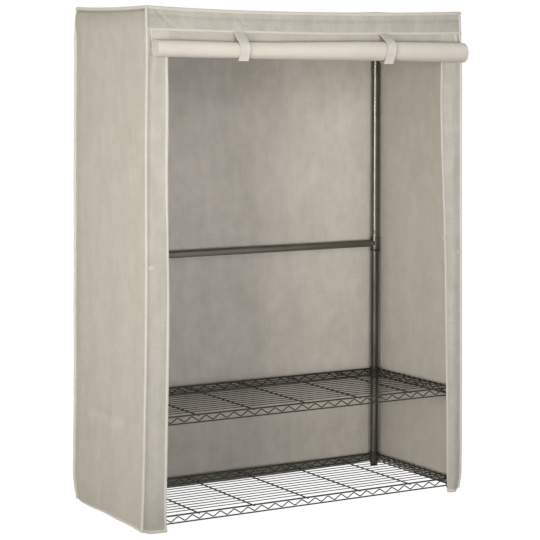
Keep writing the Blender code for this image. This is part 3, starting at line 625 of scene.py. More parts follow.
def upper_pole_outline():
    ring, slope = POLE_RADIUS - NECK_DEPTH, NECK_HALF + NECK_SLOPE
    neck = [(POLE_RADIUS, HOLD), (POLE_RADIUS, slope), (ring, NECK_HALF)]
    neck += [(radius, -height) for radius, height in reversed(neck)]
    neck = [(radius, NECK + height) for radius, height in neck]
    top = [(POLE_BORE, POLE_TOP)] + tube_end(POLE_TOP, -1)
    return top + neck + tube_end(POLE_JOINT, 1)[::-1] + [(POLE_BORE, POLE_JOINT)]


def lower_pole_outline():
    join = POLE_JOINT - JOINT_GAP
    stud_foot = join - STUD_REACH
    stud = [(STUD_RADIUS - STUD_WALL, STUD_TOP), (STUD_RADIUS, STUD_TOP - EDGE), (STUD_RADIUS, join)]
    bore = [(POLE_BORE, POLE_FOOT), (POLE_BORE, stud_foot), (STUD_RADIUS - STUD_WALL, stud_foot)]
    return stud + tube_end(join, -1) + tube_end(POLE_FOOT, 1)[::-1] + bore


first = POLE_AT["front_left"]
upper = turned("gunmetal_upper_pole_front_left", upper_pole_outline(), (*first, 0), UPPER_TUBE)
lower = turned("gunmetal_lower_pole_front_left", lower_pole_outline(), (*first, 0), TUBE)
for corner, at in POLE_AT.items():
    for part, master in (("upper_pole_", upper), ("lower_pole_", lower)):
        name = "gunmetal_" + part + corner
        pole = master if corner == "front_left" else copy_of(master, name, (*(at - first), 0))
        dress(pole, "rack", "gunmetal_tube", part + corner)
print("8 pole lengths, %d faces each" % len(upper.data.polygons))

# %% [markdown]
# ## Feet
#
# A screw foot stands under each pole: a round pad with a soft edge, a short
# neck, and a threaded stud that goes up into the insert. A true thread would
# need many faces, and the insert hides it, so a row of rings hints at it.

# %% Spin the feet
FOOT_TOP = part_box("levelling_foot_front_left")[1].z
CREST, ROOT = 0.0040, 0.0036
THREAD_START, THREAD_RINGS, THREAD_STEP = 0.0095, 12, 0.0025
PAD_OUTLINE = [
    (0, 0), (0.0128, 0), (0.0138, 0.0008), (0.0140, 0.0022), (0.0136, 0.0050), (0.0118, 0.0064),
    (0.0088, 0.0070), (0.0088, 0.0086), (0.0082, 0.0090), (CREST, 0.0090),
]


def foot_outline():
    thread = []
    for ring in range(THREAD_RINGS):
        start = THREAD_START + ring * THREAD_STEP
        thread += [(CREST, start), (ROOT, start + THREAD_STEP / 2)]
    return PAD_OUTLINE + thread + [(ROOT, FOOT_TOP), (0, FOOT_TOP)]


foot = turned("screw_foot_front_left", foot_outline(), (*first, 0), PLASTIC, 28, closed=False)
for corner, at in POLE_AT.items():
    made = foot if corner == "front_left" else copy_of(foot, "screw_foot_" + corner, (*(at - first), 0))
    dress(made, "foot_" + corner, "black_plastic", "levelling_foot_" + corner)
print("4 screw feet, %.0f mm tall" % (1000 * FOOT_TOP))

# %% [markdown]
# ## Collars and sleeves
#
# Every shelf grips its poles with a tapered steel collar over a split black
# plastic sleeve. The collar's ends are rolled into small beads. The sleeve
# shows as a black lip above the collar and a longer skirt with two rings
# below it.

# %% Spin a collar and a sleeve
COLLAR_ABOVE_DECK = 0.006
DECKS = {shelf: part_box("shelf_" + shelf)[1].z - COLLAR_ABOVE_DECK for shelf in ("bottom", "middle", "top")}
print("decks at", {shelf: round(1000 * z, 1) for shelf, z in DECKS.items()}, "mm")

# (radius, height above the deck), down the outside.
COLLAR_OUTLINE = [
    (0.0160, 0.0058), (0.0167, 0.0060), (0.0170, 0.0050), (0.0170, 0.0036), (0.0166, 0.0026),
    (0.01645, -0.0256), (0.0168, -0.0270), (0.0168, -0.0290), (0.0164, -0.0300), (0.0159, -0.0300),
]
SLEEVE_OUTLINE = [
    (0.0145, 0.0080), (0.0154, 0.0080), (0.0158, 0.0074), (0.0158, 0.0062), (0.0156, 0.0058),
    (0.0156, -0.0302), (0.0161, -0.0306), (0.0161, -0.0322), (0.0157, -0.0326), (0.0157, -0.0336),
    (0.0159, -0.0340), (0.0153, -0.0350), (0.0145, -0.0350),
]


# %% [markdown]
# ## Shelf wires
#
# Each shelf is welded from drawn wire: two rails on every side with a zigzag
# between them, five ribs from front to rear, and fourteen deck wires on top
# that turn down over the end rails. A wire is drawn as a line of points, its
# corners are rounded by a bevel, and the line becomes a curve that is given
# the wire's thickness. One shelf is made, and the other two are copies.


# %% Draw a wire
def wire(name, points, diameter, material, rounding=0.0, steps=2, sides=2):
    made = one_point(name, points[0])
    draw_on(points)
    if rounding:
        bpy.ops.mesh.select_all(action="SELECT")
        bpy.ops.mesh.bevel(affect="VERTICES", offset=rounding, segments=steps)
    bpy.ops.object.mode_set(mode="OBJECT")
    bpy.ops.object.convert(target="CURVE")
    line = bpy.context.active_object
    line.data.bevel_depth = diameter / 2
    line.data.bevel_resolution = sides
    line.data.use_fill_caps = True
    bpy.ops.object.convert(target="MESH")
    made = bpy.context.active_object
    made.name = made.data.name = name
    return finish_mesh(made, material, 50.0)


def joined(name, parts):
    """Joins the parts into the first, under one name."""
    deselect_all()
    for part in parts:
        part.select_set(True)
    bpy.context.view_layer.objects.active = parts[0]
    if len(parts) > 1:
        bpy.ops.object.join()
    parts[0].name = parts[0].data.name = name
    return parts[0]


# %% Rails, zigzags, ribs and deck wires of one shelf
TRUSS = 0.0245
TOP_RAIL, LOW_RAIL, ZIGZAG, DECK_WIRE, RIB = 0.0054, 0.0048, 0.0039, 0.0031, 0.0048
RIB_SPACING = 0.2075
PERIOD = RIB_SPACING / 4
# Wires end this far from a pole's axis, just inside its collar.
INTO_COLLAR = 0.0163
END_X = POLE_HALF - INTO_COLLAR
END_Y = DEPTH_HALF - INTO_COLLAR
# Crossing wires are sunk this far into each other at their welds.
WELD_SINK = 0.0006


def zigzag_points(reach, peak_at_middle):
    """(along, height) of the crests and valleys from -reach to reach."""
    half = PERIOD / 2
    high = -TOP_RAIL / 2 - ZIGZAG / 2 + WELD_SINK
    low = -TRUSS + LOW_RAIL / 2 + ZIGZAG / 2 - WELD_SINK
    count = int(reach / half)
    points = []
    for step in range(-count, count + 1):
        up = (step % 2 == 0) == peak_at_middle
        points.append((step * half, high if up else low))
    left = (points[0][1] + points[1][1]) / 2
    return [(-reach, left)] + points + [(reach, left)]


def all_round(name, front_line, end_line, **looks):
    """Wires along a shelf's front and left end, and their copies along its rear and right end."""
    made = []
    for line, across in ((front_line, (0, 2 * DEPTH_HALF, 0)), (end_line, (2 * POLE_HALF, 0, 0))):
        made.append(wire(name, line, material=WIRE, **looks))
        made.append(copy_of(made[-1], name, across))
    return made


rails = []
for z, thickness in ((0, TOP_RAIL), (-TRUSS, LOW_RAIL)):
    front_line = [(-END_X, FRONT_Y, z), (END_X, FRONT_Y, z)]
    end_line = [(-POLE_HALF, RACK_Y - END_Y, z), (-POLE_HALF, RACK_Y + END_Y, z)]
    rails += all_round("rail", front_line, end_line, diameter=thickness, sides=3)
shelf_rails = joined("shelf_rails", rails)

front_wave = [(x, FRONT_Y, z) for x, z in zigzag_points(END_X, False)]
end_wave = [(-POLE_HALF, RACK_Y + y, z) for y, z in zigzag_points(END_Y, True)]
waves = all_round("zigzag", front_wave, end_wave, diameter=ZIGZAG, rounding=0.0045, steps=3)
shelf_zigzags = joined("shelf_zigzags", waves)
print("shelf rails and zigzags:", len(shelf_rails.data.polygons), len(shelf_zigzags.data.polygons), "faces")

# %% The deck
DECK_WIRES, RIBS = 14, 5
# Heights from the middle of the top rail: the deck wires' level, where their ends stop, and the ribs.
DECK_LEVEL, DECK_END = 0.0034, -0.013
RIB_Z = WELD_SINK - (DECK_WIRE + RIB) / 2
END_SINK = 0.0004

reach = POLE_HALF + (TOP_RAIL + DECK_WIRE) / 2 - END_SINK
line = [(-reach, DECK_END), (-reach, DECK_LEVEL), (reach, DECK_LEVEL), (reach, DECK_END)]
one_deck_wire = wire("deck_wire", [(x, FRONT_Y, z) for x, z in line], DECK_WIRE, WIRE, 0.004, 3)
step = 2 * DEPTH_HALF / (DECK_WIRES + 1)
deck = [copy_of(one_deck_wire, "deck_wire", (0, step * (index + 1), 0)) for index in range(DECK_WIRES)]
bpy.data.objects.remove(one_deck_wire)
shelf_deck = joined("shelf_deck_wires", deck)

one_rib = wire("rib", [(0, FRONT_Y, RIB_Z), (0, REAR_Y, RIB_Z)], RIB, WIRE)
ribs = [copy_of(one_rib, "rib", ((index - RIBS // 2) * RIB_SPACING, 0, 0)) for index in range(RIBS)]
bpy.data.objects.remove(one_rib)
shelf_ribs = joined("shelf_ribs", ribs)

first_collar = turned("collar", COLLAR_OUTLINE, (*first, 0), WIRE)
collars = [copy_of(first_collar, "collar", (*(at - first), 0)) for at in POLE_AT.values()]
shelf_collars = joined("shelf_collars", collars)
bpy.data.objects.remove(first_collar)
first_sleeve = turned("sleeve", SLEEVE_OUTLINE, (*first, 0), PLASTIC)
print("deck of", DECK_WIRES, "wires,", RIBS, "ribs,", len(collars), "collars")

# %% Three shelves
SHELF_PARTS = {
    "rails": shelf_rails,
    "zigzags": shelf_zigzags,
    "deck_wires": shelf_deck,
    "ribs": shelf_ribs,
    "collars": shelf_collars,
}
for shelf, height in DECKS.items():
    for part, master in SHELF_PARTS.items():
        made = copy_of(master, shelf + "_shelf_" + part, (0, 0, height))
        dress(made, "rack", "shelf_wire", *(["shelf_" + shelf] if part == "rails" else []))
    for corner, at in POLE_AT.items():
        made = copy_of(first_sleeve, shelf + "_split_sleeve_" + corner, (*(at - first), height))
        dress(made, "rack", "black_plastic", "sleeve_" + shelf + "_" + corner)
for master in (*SHELF_PARTS.values(), first_sleeve):
    bpy.data.objects.remove(master)
print("3 shelves with 12 sleeves")

# %% [markdown]
# ## Brace and hanging rail
#
# The brace across the back is two tubes on a hidden coupler, and a punched
# dimple at each end of the coupler keeps them together. A welded saddle joins
# the brace to the tee that sits on each rear pole, above a black ring. The
# hanging rail lies in two sockets that hook over the top shelf.

# %% Tees and rings
BRACE_Z = middle_of("brace_tube_left").z
BRACE_RADIUS = 0.0127
TEE_HALF = 0.02125
TEE_OUTLINE = [
    (0.0146, TEE_HALF), (0.0165, TEE_HALF), (0.0170, TEE_HALF - 0.0006),
    (0.0170, -TEE_HALF + 0.0006), (0.0165, -TEE_HALF), (0.0146, -TEE_HALF),
]
RING_OUTLINE = [
    (0.0146, 0.0043), (0.0166, 0.0043), (0.0170, 0.0036),
    (0.0170, -0.0036), (0.0166, -0.0043), (0.0146, -0.0043),
]
# (radius, how far from the pole's axis).
SADDLE_OUTLINE = [
    (0.0145, 0.0105), (0.0139, 0.0170), (0.0132, 0.0193),
    (0.0128, 0.0198), (0.0112, 0.0198), (0.0112, 0.0105),
]
for end, side in SIDES.items():
    at = Vector((side * POLE_HALF, REAR_Y, BRACE_Z))
    tee = turned("brace_tee_sleeve_" + end, TEE_OUTLINE, at, TUBE)
    # The saddle flares where the tube is welded to the sleeve.
    saddle = turned("saddle", [(radius, -side * x) for radius, x in SADDLE_OUTLINE], at, TUBE, axis="X")
    dress(joined("brace_tee_sleeve_" + end, [tee, saddle]), "rack", "gunmetal_tube", "brace_tee_" + end)
    ring_place = (at.x, at.y, middle_of("tee_ring_" + end).z)
    ring = turned("tee_under_ring_" + end, RING_OUTLINE, ring_place, PLASTIC)
    dress(ring, "rack", "black_plastic", "tee_ring_" + end)
print("2 tees with saddles and rings")

# %% Brace tubes with their dimples
TUBE_WALL = 0.0012
DIMPLES = {"left": -0.078, "right": 0.223}
DIMPLE_RADIUS, DIMPLE_DEPTH = 0.0060, 0.0022
# The punch came from the front, a little above the middle.
PUNCH = Vector((0, -0.0120, 0.0042))


def tube_along_x(low, high, radius, marks=()):
    """Outline of a tube along x, with close rings near each mark so that a dimple has points to move."""
    rings = [low + EDGE, low + HOLD, high - HOLD, high - EDGE]
    for mark in marks:
        rings += [mark + step * DIMPLE_RADIUS / 5 for step in range(-5, 6)]
    outer = [(radius - EDGE, low)] + [(radius, x) for x in sorted(rings)] + [(radius - EDGE, high)]
    return outer + [(radius - TUBE_WALL, high), (radius - TUBE_WALL, low)]


for end, mark in DIMPLES.items():
    low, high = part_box("brace_tube_" + end)
    outline = tube_along_x(low.x, high.x, BRACE_RADIUS, [mark])
    tube = turned("brace_rail_" + end, outline, (0, REAR_Y, BRACE_Z), BRACE, axis="X")
    centre = Vector((mark, REAR_Y, BRACE_Z)) + PUNCH
    for point in tube.data.vertices:
        distance = (point.co - centre).length
        if distance < DIMPLE_RADIUS:
            point.co.y += DIMPLE_DEPTH * (1 - (distance / DIMPLE_RADIUS) ** 2) ** 2
    dress(tube, "rack", "gunmetal_tube", "brace_tube_" + end)
    print(tube.name, "%.0f mm long" % (1000 * (high.x - low.x)))

# %% Hanging rail
low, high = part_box("hanging_rail")
RAIL_Z = middle_of("hanging_rail").z
rail_outline = tube_along_x(low.x, high.x, (high.z - low.z) / 2)
rail = turned("gunmetal_hanging_rail", rail_outline, (0, RACK_Y, RAIL_Z), TUBE, 40, axis="X")
dress(rail, "rack", "gunmetal_tube", "hanging_rail")
print("brace and hanging rail at z %.0f and %.0f mm" % (1000 * BRACE_Z, 1000 * RAIL_Z))

# %% [markdown]
# ## How the cover hangs
#
# The cover is cut straight, but it doesn't hang straight. Its corners lean
# outwards towards the floor, its top edges sag between the poles, and each
# wall falls in soft upright folds. These curves are set down first, as a few
# heights with how far the cloth stands out there, so that panels, bindings
# and piping all follow the same lines.


# %% Smooth curves through a few points
def through(points, at):
    """The value at a place on a smooth curve through (place, value) points in rising order."""
    if at <= points[0][0]:
        return points[0][1]
    if at >= points[-1][0]:
        return points[-1][1]
    index = next(i for i in range(len(points) - 1) if points[i + 1][0] >= at)
    (x0, y0), (x1, y1) = points[index], points[index + 1]
    before = points[max(index - 1, 0)]
    after = points[min(index + 2, len(points) - 1)]
    slope0 = (y1 - before[1]) / (x1 - before[0])
    slope1 = (after[1] - y0) / (after[0] - x0)
    t, run = (at - x0) / (x1 - x0), x1 - x0
    return (
        (2 * t**3 - 3 * t**2 + 1) * y0
        + (t**3 - 2 * t**2 + t) * run * slope0
        + (3 * t**2 - 2 * t**3) * y1
        + (t**3 - t**2) * run * slope1
    )


def lerp(start, end, share):
    return start + (end - start) * share


def smooth_step(start, end, at):
    share = min(1.0, max(0.0, (at - start) / (end - start)))
    return share * share * (3 - 2 * share)


def bell(distance, width):
    return math.exp(-((distance / width) ** 2))


# %% The corners
CORD_HALF = 0.0035
PIPING_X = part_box("cover_piping")[1].x - CORD_HALF
PIPING_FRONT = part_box("cover_piping")[0].y + CORD_HALF
PIPING_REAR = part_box("cover_piping")[1].y - CORD_HALF
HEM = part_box("front_strip_left")[0].z
SEAM = middle_of("valance_piping").z
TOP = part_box("cover_top")[0].z
# (height, how far the corner stands out sideways) in metres, from the floor up.
LEAN_SIDE = {
    "front_left": (
        (0.0, 0.0290), (0.05, 0.0275), (0.12, 0.0235), (0.25, 0.0187), (0.50, 0.0110),
        (0.75, 0.0060), (1.0, 0.0042), (1.23, 0.0036), (1.40, 0.0008), (1.52, -0.0012),
        (1.674, 0.0),
    ),
    "front_right": (
        (0.0, -0.0030), (0.03, 0.0015), (0.07, 0.0075), (0.30, 0.0085), (0.50, 0.0082),
        (0.80, 0.0053), (1.15, 0.0010), (1.45, -0.0016), (1.52, -0.0030), (1.58, -0.0060),
        (1.645, -0.0085), (1.674, -0.0140),
    ),
    "rear_left": (
        (0.0, 0.0085), (0.03, 0.0125), (0.06, 0.0160), (0.10, 0.0190), (0.25, 0.0165),
        (0.38, 0.0144), (0.52, 0.0128), (0.66, 0.0128), (0.80, 0.0114), (1.20, 0.0085),
        (1.56, 0.0040), (1.61, 0.0048), (1.65, 0.0026), (1.674, -0.0010),
    ),
    "rear_right": ((0.0, 0.0130), (0.20, 0.0120), (0.80, 0.0060), (1.30, 0.0020), (1.674, 0.0)),
}
LEAN_REAR = ((0.0, 0.0080), (0.10, 0.0100), (0.80, 0.0050), (1.30, 0.0020), (1.674, 0.0))
LEAN_FRONT = ((0.0, 0.0060), (0.40, 0.0020), (0.90, 0.0), (1.674, 0.0))


def corner_at(corner, z):
    """Where the middle of the corner piping is at a height."""
    side, depth = CORNERS[corner]
    x = side * (PIPING_X + through(LEAN_SIDE[corner], z))
    y = PIPING_FRONT - through(LEAN_FRONT, z) if depth < 0 else PIPING_REAR + through(LEAN_REAR, z)
    return Vector((x, y, z))


for corner in CORNERS:
    foot_place, head = corner_at(corner, HEM), corner_at(corner, 1.6)
    print(corner, "leans", [round(1000 * value) for value in (foot_place - head).xy], "mm")

# %% The top edges
SAG = {"front": 0.0105, "rear": 0.0090, "left": 0.0045, "right": 0.0040}
# The rear edge stands higher than the front right corner, and so does the front left corner.
REAR_RISE = 0.0110
LEFT_RISE = 0.0028


def top_edge(wall, share):
    """How far the top edge hangs down at a share of its length, from the left or from the front."""
    if wall == "front":
        rise = LEFT_RISE * max(0.0, 1 - share / 0.3) ** 1.5
    else:
        rise = REAR_RISE * (1.0 if wall == "rear" else share)
    if wall == "left":
        rise += LEFT_RISE * (1 - share)
    return SAG[wall] * (4 * share * (1 - share)) ** 0.85 - rise


# %% The folds
def long_fold(across, z, seed, count, reach):
    """Upright folds: noise that is drawn out in height, so that each fold runs and fades slowly."""
    wide = noise.noise(Vector((across * count, z * 0.8 + seed, seed)))
    fine = noise.noise(Vector((across * count * 2.7, z * 1.7 + seed, seed + 9)))
    return reach * (wide + 0.38 * fine)


def held_in(across, power=0.6):
    """0 at a panel's two sides, where the piping holds it, and 1 in its middle."""
    return max(0.0, 4 * across * (1 - across)) ** power


def shelf_press(z):
    """A shallow crease in the walls at the middle shelf's lower rails, with a slight swell below it."""
    above = z - (DECKS["middle"] - TRUSS)
    return -0.0042 * bell(above - 0.006, 0.016) + 0.0016 * bell(above + 0.030, 0.025)


# %% [markdown]
# ## A cloth panel
#
# A panel starts as a grid. Each of its points is moved to its place on the
# hanging curves, its map is scaled to the cloth's real size in metres, and a
# Solidify modifier gives the thickness, with the taupe face outside and the
# cream reverse inside. A simulation could hang the cloth, but the photograph
# shows where each fold is, and moved points put it there every time.


# %% Make a sheet
CUT = {}


def cloth_sheet(name, steps, place_at, outward, thickness, face, reverse, flat, rim=None, spaced=float):
    """spaced moves the rows of the grid, so that they can lie closer where the cloth has small forms."""
    columns, rows = steps
    CUT[name] = flat
    deselect_all()
    bpy.ops.mesh.primitive_grid_add(x_subdivisions=columns, y_subdivisions=rows, size=2.0)
    made = bpy.context.active_object
    made.name = made.data.name = name
    chart = made.data.uv_layers.active
    chart.name = "cloth"
    for corner_point in chart.data:
        corner_point.uv = (corner_point.uv.x * flat[0], spaced(corner_point.uv.y) * flat[1])
    for point in made.data.vertices:
        point.co = place_at((point.co.x + 1) / 2, spaced((point.co.y + 1) / 2))
    made.data.update()
    facing = sum(polygon.normal.dot(Vector(outward)) * polygon.area for polygon in made.data.polygons)
    if facing < 0:
        bpy.ops.object.mode_set(mode="EDIT")
        bpy.ops.mesh.select_all(action="SELECT")
        bpy.ops.mesh.flip_normals()
        bpy.ops.object.mode_set(mode="OBJECT")
    for material in (face, reverse, rim or face):
        made.data.materials.append(material)
    thick = made.modifiers.new("thickness", "SOLIDIFY")
    thick.thickness = thickness
    thick.offset = 1.0
    thick.material_offset = 1
    thick.material_offset_rim = 2
    bpy.ops.object.modifier_apply(modifier="thickness")
    bpy.ops.object.shade_smooth_by_angle(angle=math.radians(60))
    return made


CLOTH = 0.0010


def cover_panel(name, node, steps, place_at, outward, flat, face=TAUPE, reverse=CREAM, spaced=float):
    """A sheet of the cover's cloth, which rides on the cover and stands for a CAD node."""
    made = cloth_sheet(name, steps, place_at, outward, CLOTH, face, reverse, flat, spaced=spaced)
    dress(made, "cover", "cover_cloth", node)
    print(name, len(made.data.polygons), "faces")


# %% The side walls
# A panel ends this far from the middle of a corner cord, and this far under the top edge.
PANEL_GAP, UNDER_TOP = 0.0022, 0.004
# Panels are cut this much wider than the poles are apart.
SEAM_ALLOWANCE = 0.03


def wall_point(start, end, across, z, out, swell):
    """A point between two corners at a height, moved outwards by swell."""
    a, b = corner_at(start, z), corner_at(end, z)
    run = (b - a).normalized()
    a, b = a + run * PANEL_GAP, b - run * PANEL_GAP
    return a.lerp(b, across) + Vector(out) * swell


def close_at_top(up):
    """A tenth of the rows lies in the top fiftieth of the cloth, where the band and the groove are."""
    return lerp(0.0, 0.98, up / 0.9) if up < 0.9 else lerp(0.98, 1.0, (up - 0.9) / 0.1)


# At the rear left corner the last 23 mm of the hem are turned up by this much.
TURNED_UP = 0.002
HEM_FRONT_LEFT, HEM_REAR_LEFT = 0.0070, 0.0055
# (share from front to rear, how far the left wall's hem is off its straight line).
LEFT_HEM = (
    (0.0, HEM_FRONT_LEFT), (0.13, 0.0095), (0.37, 0.0098), (0.55, 0.0098),
    (0.72, 0.0060), (0.83, 0.0045), (0.95, 0.0045), (1.0, HEM_REAR_LEFT),
)
# The right wall's hem hangs this much higher.
RIGHT_LIFT = 0.0100


def hem_height(wall, share):
    """How high the hem is at a share of its length, from the front or, at the rear, from the left."""
    lift = 0.0
    if wall == "left":
        lift = through(LEFT_HEM, share) + TURNED_UP * max(0.0, (share - 0.955) / 0.045)
    if wall == "right":
        lift = RIGHT_LIFT
    if wall == "rear":
        lift = HEM_REAR_LEFT * (1 - share) ** 4 + RIGHT_LIFT * share**6
        lift += TURNED_UP * max(0.0, (0.020 - share) / 0.020)
    return HEM + lift + 0.0006 * noise.noise(Vector((share * 9, 3.0, 1.0)))


# How far from a pole's axis the cloth is pushed by the pole, by its collar, and at the top edge,
# and the heights between which one passes into the next.
BY_POLE, BY_COLLAR, BY_EDGE = 0.0158, 0.0184, 0.0138
POLE_PUSH, COLLAR_PUSH, EDGE_PUSH = (1.48, 1.53), (1.585, 1.605), (1.655, 1.663)


def over_pole(point, side, across):
    """How far cloth or cord is pushed sideways near the top, where a corner leans in over its pole."""
    over = lerp(BY_POLE, BY_COLLAR, smooth_step(*COLLAR_PUSH, point.z))
    over = POLE_HALF + lerp(over, BY_EDGE, smooth_step(*EDGE_PUSH, point.z))
    # The first 7 mm beside the front corner's cord are held by it.
    stretched = smooth_step(*POLE_PUSH, point.z) * smooth_step(0.0, 0.014, across)
    return side * stretched * max(0.0, over - side * point.x)


# Under the top band the side walls are pulled in: how deep, how far down and how wide.
GROOVE_DEPTH, GROOVE_DOWN, GROOVE_WIDTH = 0.0036, 0.0090, 0.0052


def side_point(end, side):
    names = ("front_" + end, "rear_" + end)
    seed = 3.1 if side < 0 else 8.4

    def place_at(across, up):
        top = TOP - top_edge(end, across) - UNDER_TOP
        z = lerp(hem_height(end, across), top, up)
        swell = 0.0008 + held_in(across) * (0.0030 + long_fold(across, z, seed, 4.2, 0.0024) + shelf_press(z))
        swell *= min(1.0, (top - z) / 0.05 + 0.25)
        groove = GROOVE_DEPTH * bell(top - z - GROOVE_DOWN, GROOVE_WIDTH)
        # The cloth is also pulled in a little beside the corner cords.
        groove += 0.0016 * bell(min(across, 1 - across) * 0.52, 0.006)
        # A faint upright line from the packing runs down from the top, behind the middle.
        pressed = 0.0009 * bell(across - 0.54, 0.010) * min(1.0, max(0.0, (z - 1.50) / 0.06))
        if side < 0:
            # The rear cord stands out like a fin, and the wall lies lower beside it.
            pressed += 0.0045 * smooth_step(0.90, 1.0, across) * (1 - smooth_step(1.585, 1.625, z))
        point = wall_point(*names, across, z, (side, 0, 0), max(swell, 0.0004) - groove - pressed)
        point.x += over_pole(point, side, across)
        return point

    return place_at


for end, side in SIDES.items():
    flat = (2 * DEPTH_HALF + SEAM_ALLOWANCE, TOP - HEM)
    cover_panel(
        "side_wall_" + end, "cover_side_" + end, (72, 140), side_point(end, side), (side, 0, 0), flat,
        TAUPE_SIDE, spaced=close_at_top,
    )


# %% The back wall
CREASE_X, CREASE_Z, CREASE_SLOPE = 0.10, 0.62, 0.16


def back_point(across, up):
    top = TOP - top_edge("rear", across) - UNDER_TOP
    z = lerp(hem_height("rear", across), top, up)
    folds = long_fold(across, z, 5.7, 9.0, 0.0024)
    # One soft crease runs down to the right, as if the cloth had been folded in its bag.
    x = lerp(-PIPING_X, PIPING_X, across)
    line = (z - CREASE_Z) + CREASE_SLOPE * (x - CREASE_X)
    crease = 0.0010 * bell(line, 0.010) * bell(x - CREASE_X, 0.30)
    swell = 0.0006 + held_in(across) * max(0.0005, 0.0028 + folds + 0.7 * shelf_press(z)) + crease
    swell *= min(1.0, (top - z) / 0.05 + 0.25)
    return wall_point("rear_left", "rear_right", across, z, (0, 1, 0), max(swell, 0.0004))


flat = (2 * POLE_HALF + SEAM_ALLOWANCE, TOP - HEM)
cover_panel("back_wall", "cover_back", (110, 120), back_point, (0, 1, 0), flat, reverse=BACK_CREAM)


# %% The top
# The top sheet ends this far inside the middle of the top cord.
TOP_INSET = 0.002


def top_point(across, up):
    left = lerp(corner_at("front_left", TOP).x, corner_at("rear_left", TOP).x, up) + TOP_INSET
    right = lerp(corner_at("front_right", TOP).x, corner_at("rear_right", TOP).x, up) - TOP_INSET
    right += over_pole(Vector((right, 0, TOP)), 1, up)
    x = lerp(left, right, across)
    y = lerp(PIPING_FRONT + TOP_INSET, PIPING_REAR - TOP_INSET, up)
    level = lerp(top_edge("front", across), top_edge("rear", across), up)
    level += lerp(top_edge("left", up), top_edge("right", up), across) + REAR_RISE * up
    level += LEFT_RISE * (1 - across) * (1 - up)
    belly = 0.006 * (16 * across * (1 - across) * up * (1 - up)) ** 0.8
    ripple = 0.0012 * noise.noise(Vector((across * 7, up * 3, 4.4))) * held_in(across) * held_in(up)
    return Vector((x, y, TOP - 0.0006 - level - belly + ripple))


flat = (2 * POLE_HALF + SEAM_ALLOWANCE, 2 * DEPTH_HALF + SEAM_ALLOWANCE)
cover_panel("top_wall", "cover_top", (72, 32), top_point, (0, 0, 1), flat)


# %% The front strips
SEAM_LINE = ((-0.605, 1.6015), (-0.30, 1.5965), (0.0, 1.5930), (0.30, 1.5945), (0.605, 1.5985))
# (height, x of the free edge) from the floor up, in metres.
FREE_EDGE = {
    "left": (
        (0.0, -0.5430), (0.08, -0.5441), (0.17, -0.5413), (0.30, -0.5380), (0.62, -0.5300),
        (0.75, -0.5283), (1.13, -0.5315), (1.36, -0.5290), (1.505, -0.5297), (1.6, -0.5297),
    ),
    "right": (
        (0.0, 0.5585), (0.03, 0.5560), (0.14, 0.5532), (0.30, 0.5520), (0.54, 0.5480),
        (0.70, 0.5450), (0.86, 0.5405), (1.03, 0.5336), (1.20, 0.5262), (1.36, 0.5210),
        (1.50, 0.5206), (1.6, 0.5206),
    ),
}
STRIP_WIDTH = {"left": 0.080, "right": 0.064}
# The strips and the valance lie this far in front of the middle of the cords.
STRIP_FACE = -0.0012
# The strips' free edges meet the seam about this far from the rail's middle.
EDGE_AT_SEAM = 0.53


def strip_point(end, side):
    seed = 1.7 if side < 0 else 6.2

    def place_at(across, up):
        seam = through(SEAM_LINE, side * lerp(PIPING_X, EDGE_AT_SEAM, across)) - 0.0012
        # From the cord the hem falls towards the free edge.
        hem = HEM + 0.0006 * noise.noise(Vector((across * 5, seed, 2.0)))
        if side < 0:
            hem += lerp(0.0072, -0.0002, min(1.0, across / 0.30)) - 0.0046 * across**1.5
        else:
            hem += lerp(RIGHT_LIFT, -0.0026, min(1.0, across / 0.35))
        z = lerp(hem, seam, up)
        a = corner_at("front_" + end, z) + Vector((-side * PANEL_GAP, 0, 0))
        edge = Vector((through(FREE_EDGE[end], z), a.y, z))
        point = a.lerp(edge, across)
        curl = across**2 * (0.0030 + 0.0040 * noise.noise(Vector((z * 2.1, seed, 0.3))))
        fold = held_in(across) * long_fold(across, z, seed, 1.6, 0.0022)
        point.y += STRIP_FACE + 0.0006 + max(0.0, curl + fold)
        if side < 0:
            # The edge at the cord is pulled out, so that no shadow line shows beside it.
            point.y -= 0.0026 * bell(across * 0.08, 0.007)
        else:
            # This strip bulges, more so towards the floor, and its outer half turns away from the light.
            bulge = lerp(0.0046, 0.0016, min(1.0, z / 1.4))
            point.y -= bulge * math.sin(math.pi * min(1.0, across * 1.1)) ** 1.3
        return point

    return place_at


for end, side in SIDES.items():
    flat = (STRIP_WIDTH[end], SEAM - HEM)
    cover_panel(
        "front_edge_strip_" + end, "front_strip_" + end, (14, 140), strip_point(end, side), (0, -1, 0), flat,
        STRIP_CLOTH[end],
    )

# %% The valance
VALANCE_HEIGHT = 0.062


def valance_point(across, up):
    x = lerp(-PIPING_X, PIPING_X, across)
    low = through(SEAM_LINE, x) + 0.0028
    high = TOP - top_edge("front", across) - 0.006
    z = lerp(low, high, up)
    x = lerp(corner_at("front_left", z).x + PANEL_GAP, corner_at("front_right", z).x - PANEL_GAP, across)
    # Two creases slant down, one at the front left corner and one left of the middle.
    crease = 0.0042 * bell((x + 0.559) * 0.94 + (z - 1.650), 0.0055) * bell(x + 0.557, 0.045)
    crease += 0.0030 * bell((x + 0.268) + 0.7 * (z - 1.630), 0.006) * bell(z - 1.632, 0.024)
    # A long soft dent runs along the middle, deeper in some places than in others.
    deep = 0.6 + noise.noise(Vector((x * 5, 0.0, 12.0)))
    dent_z = lerp(low, high, 0.52) + 0.004 * noise.noise(Vector((x * 6, 3.0, 1.0)))
    crease += 0.0016 * max(0.0, deep) * bell(z - dent_z, 0.006)
    belly = 0.0016 * math.sin(math.pi * up) + long_fold(across, z, 2.9, 7.0, 0.0014)
    swell = held_in(across, 0.4) * belly - crease
    return Vector((x, PIPING_FRONT + STRIP_FACE - max(swell, -0.0045), z))


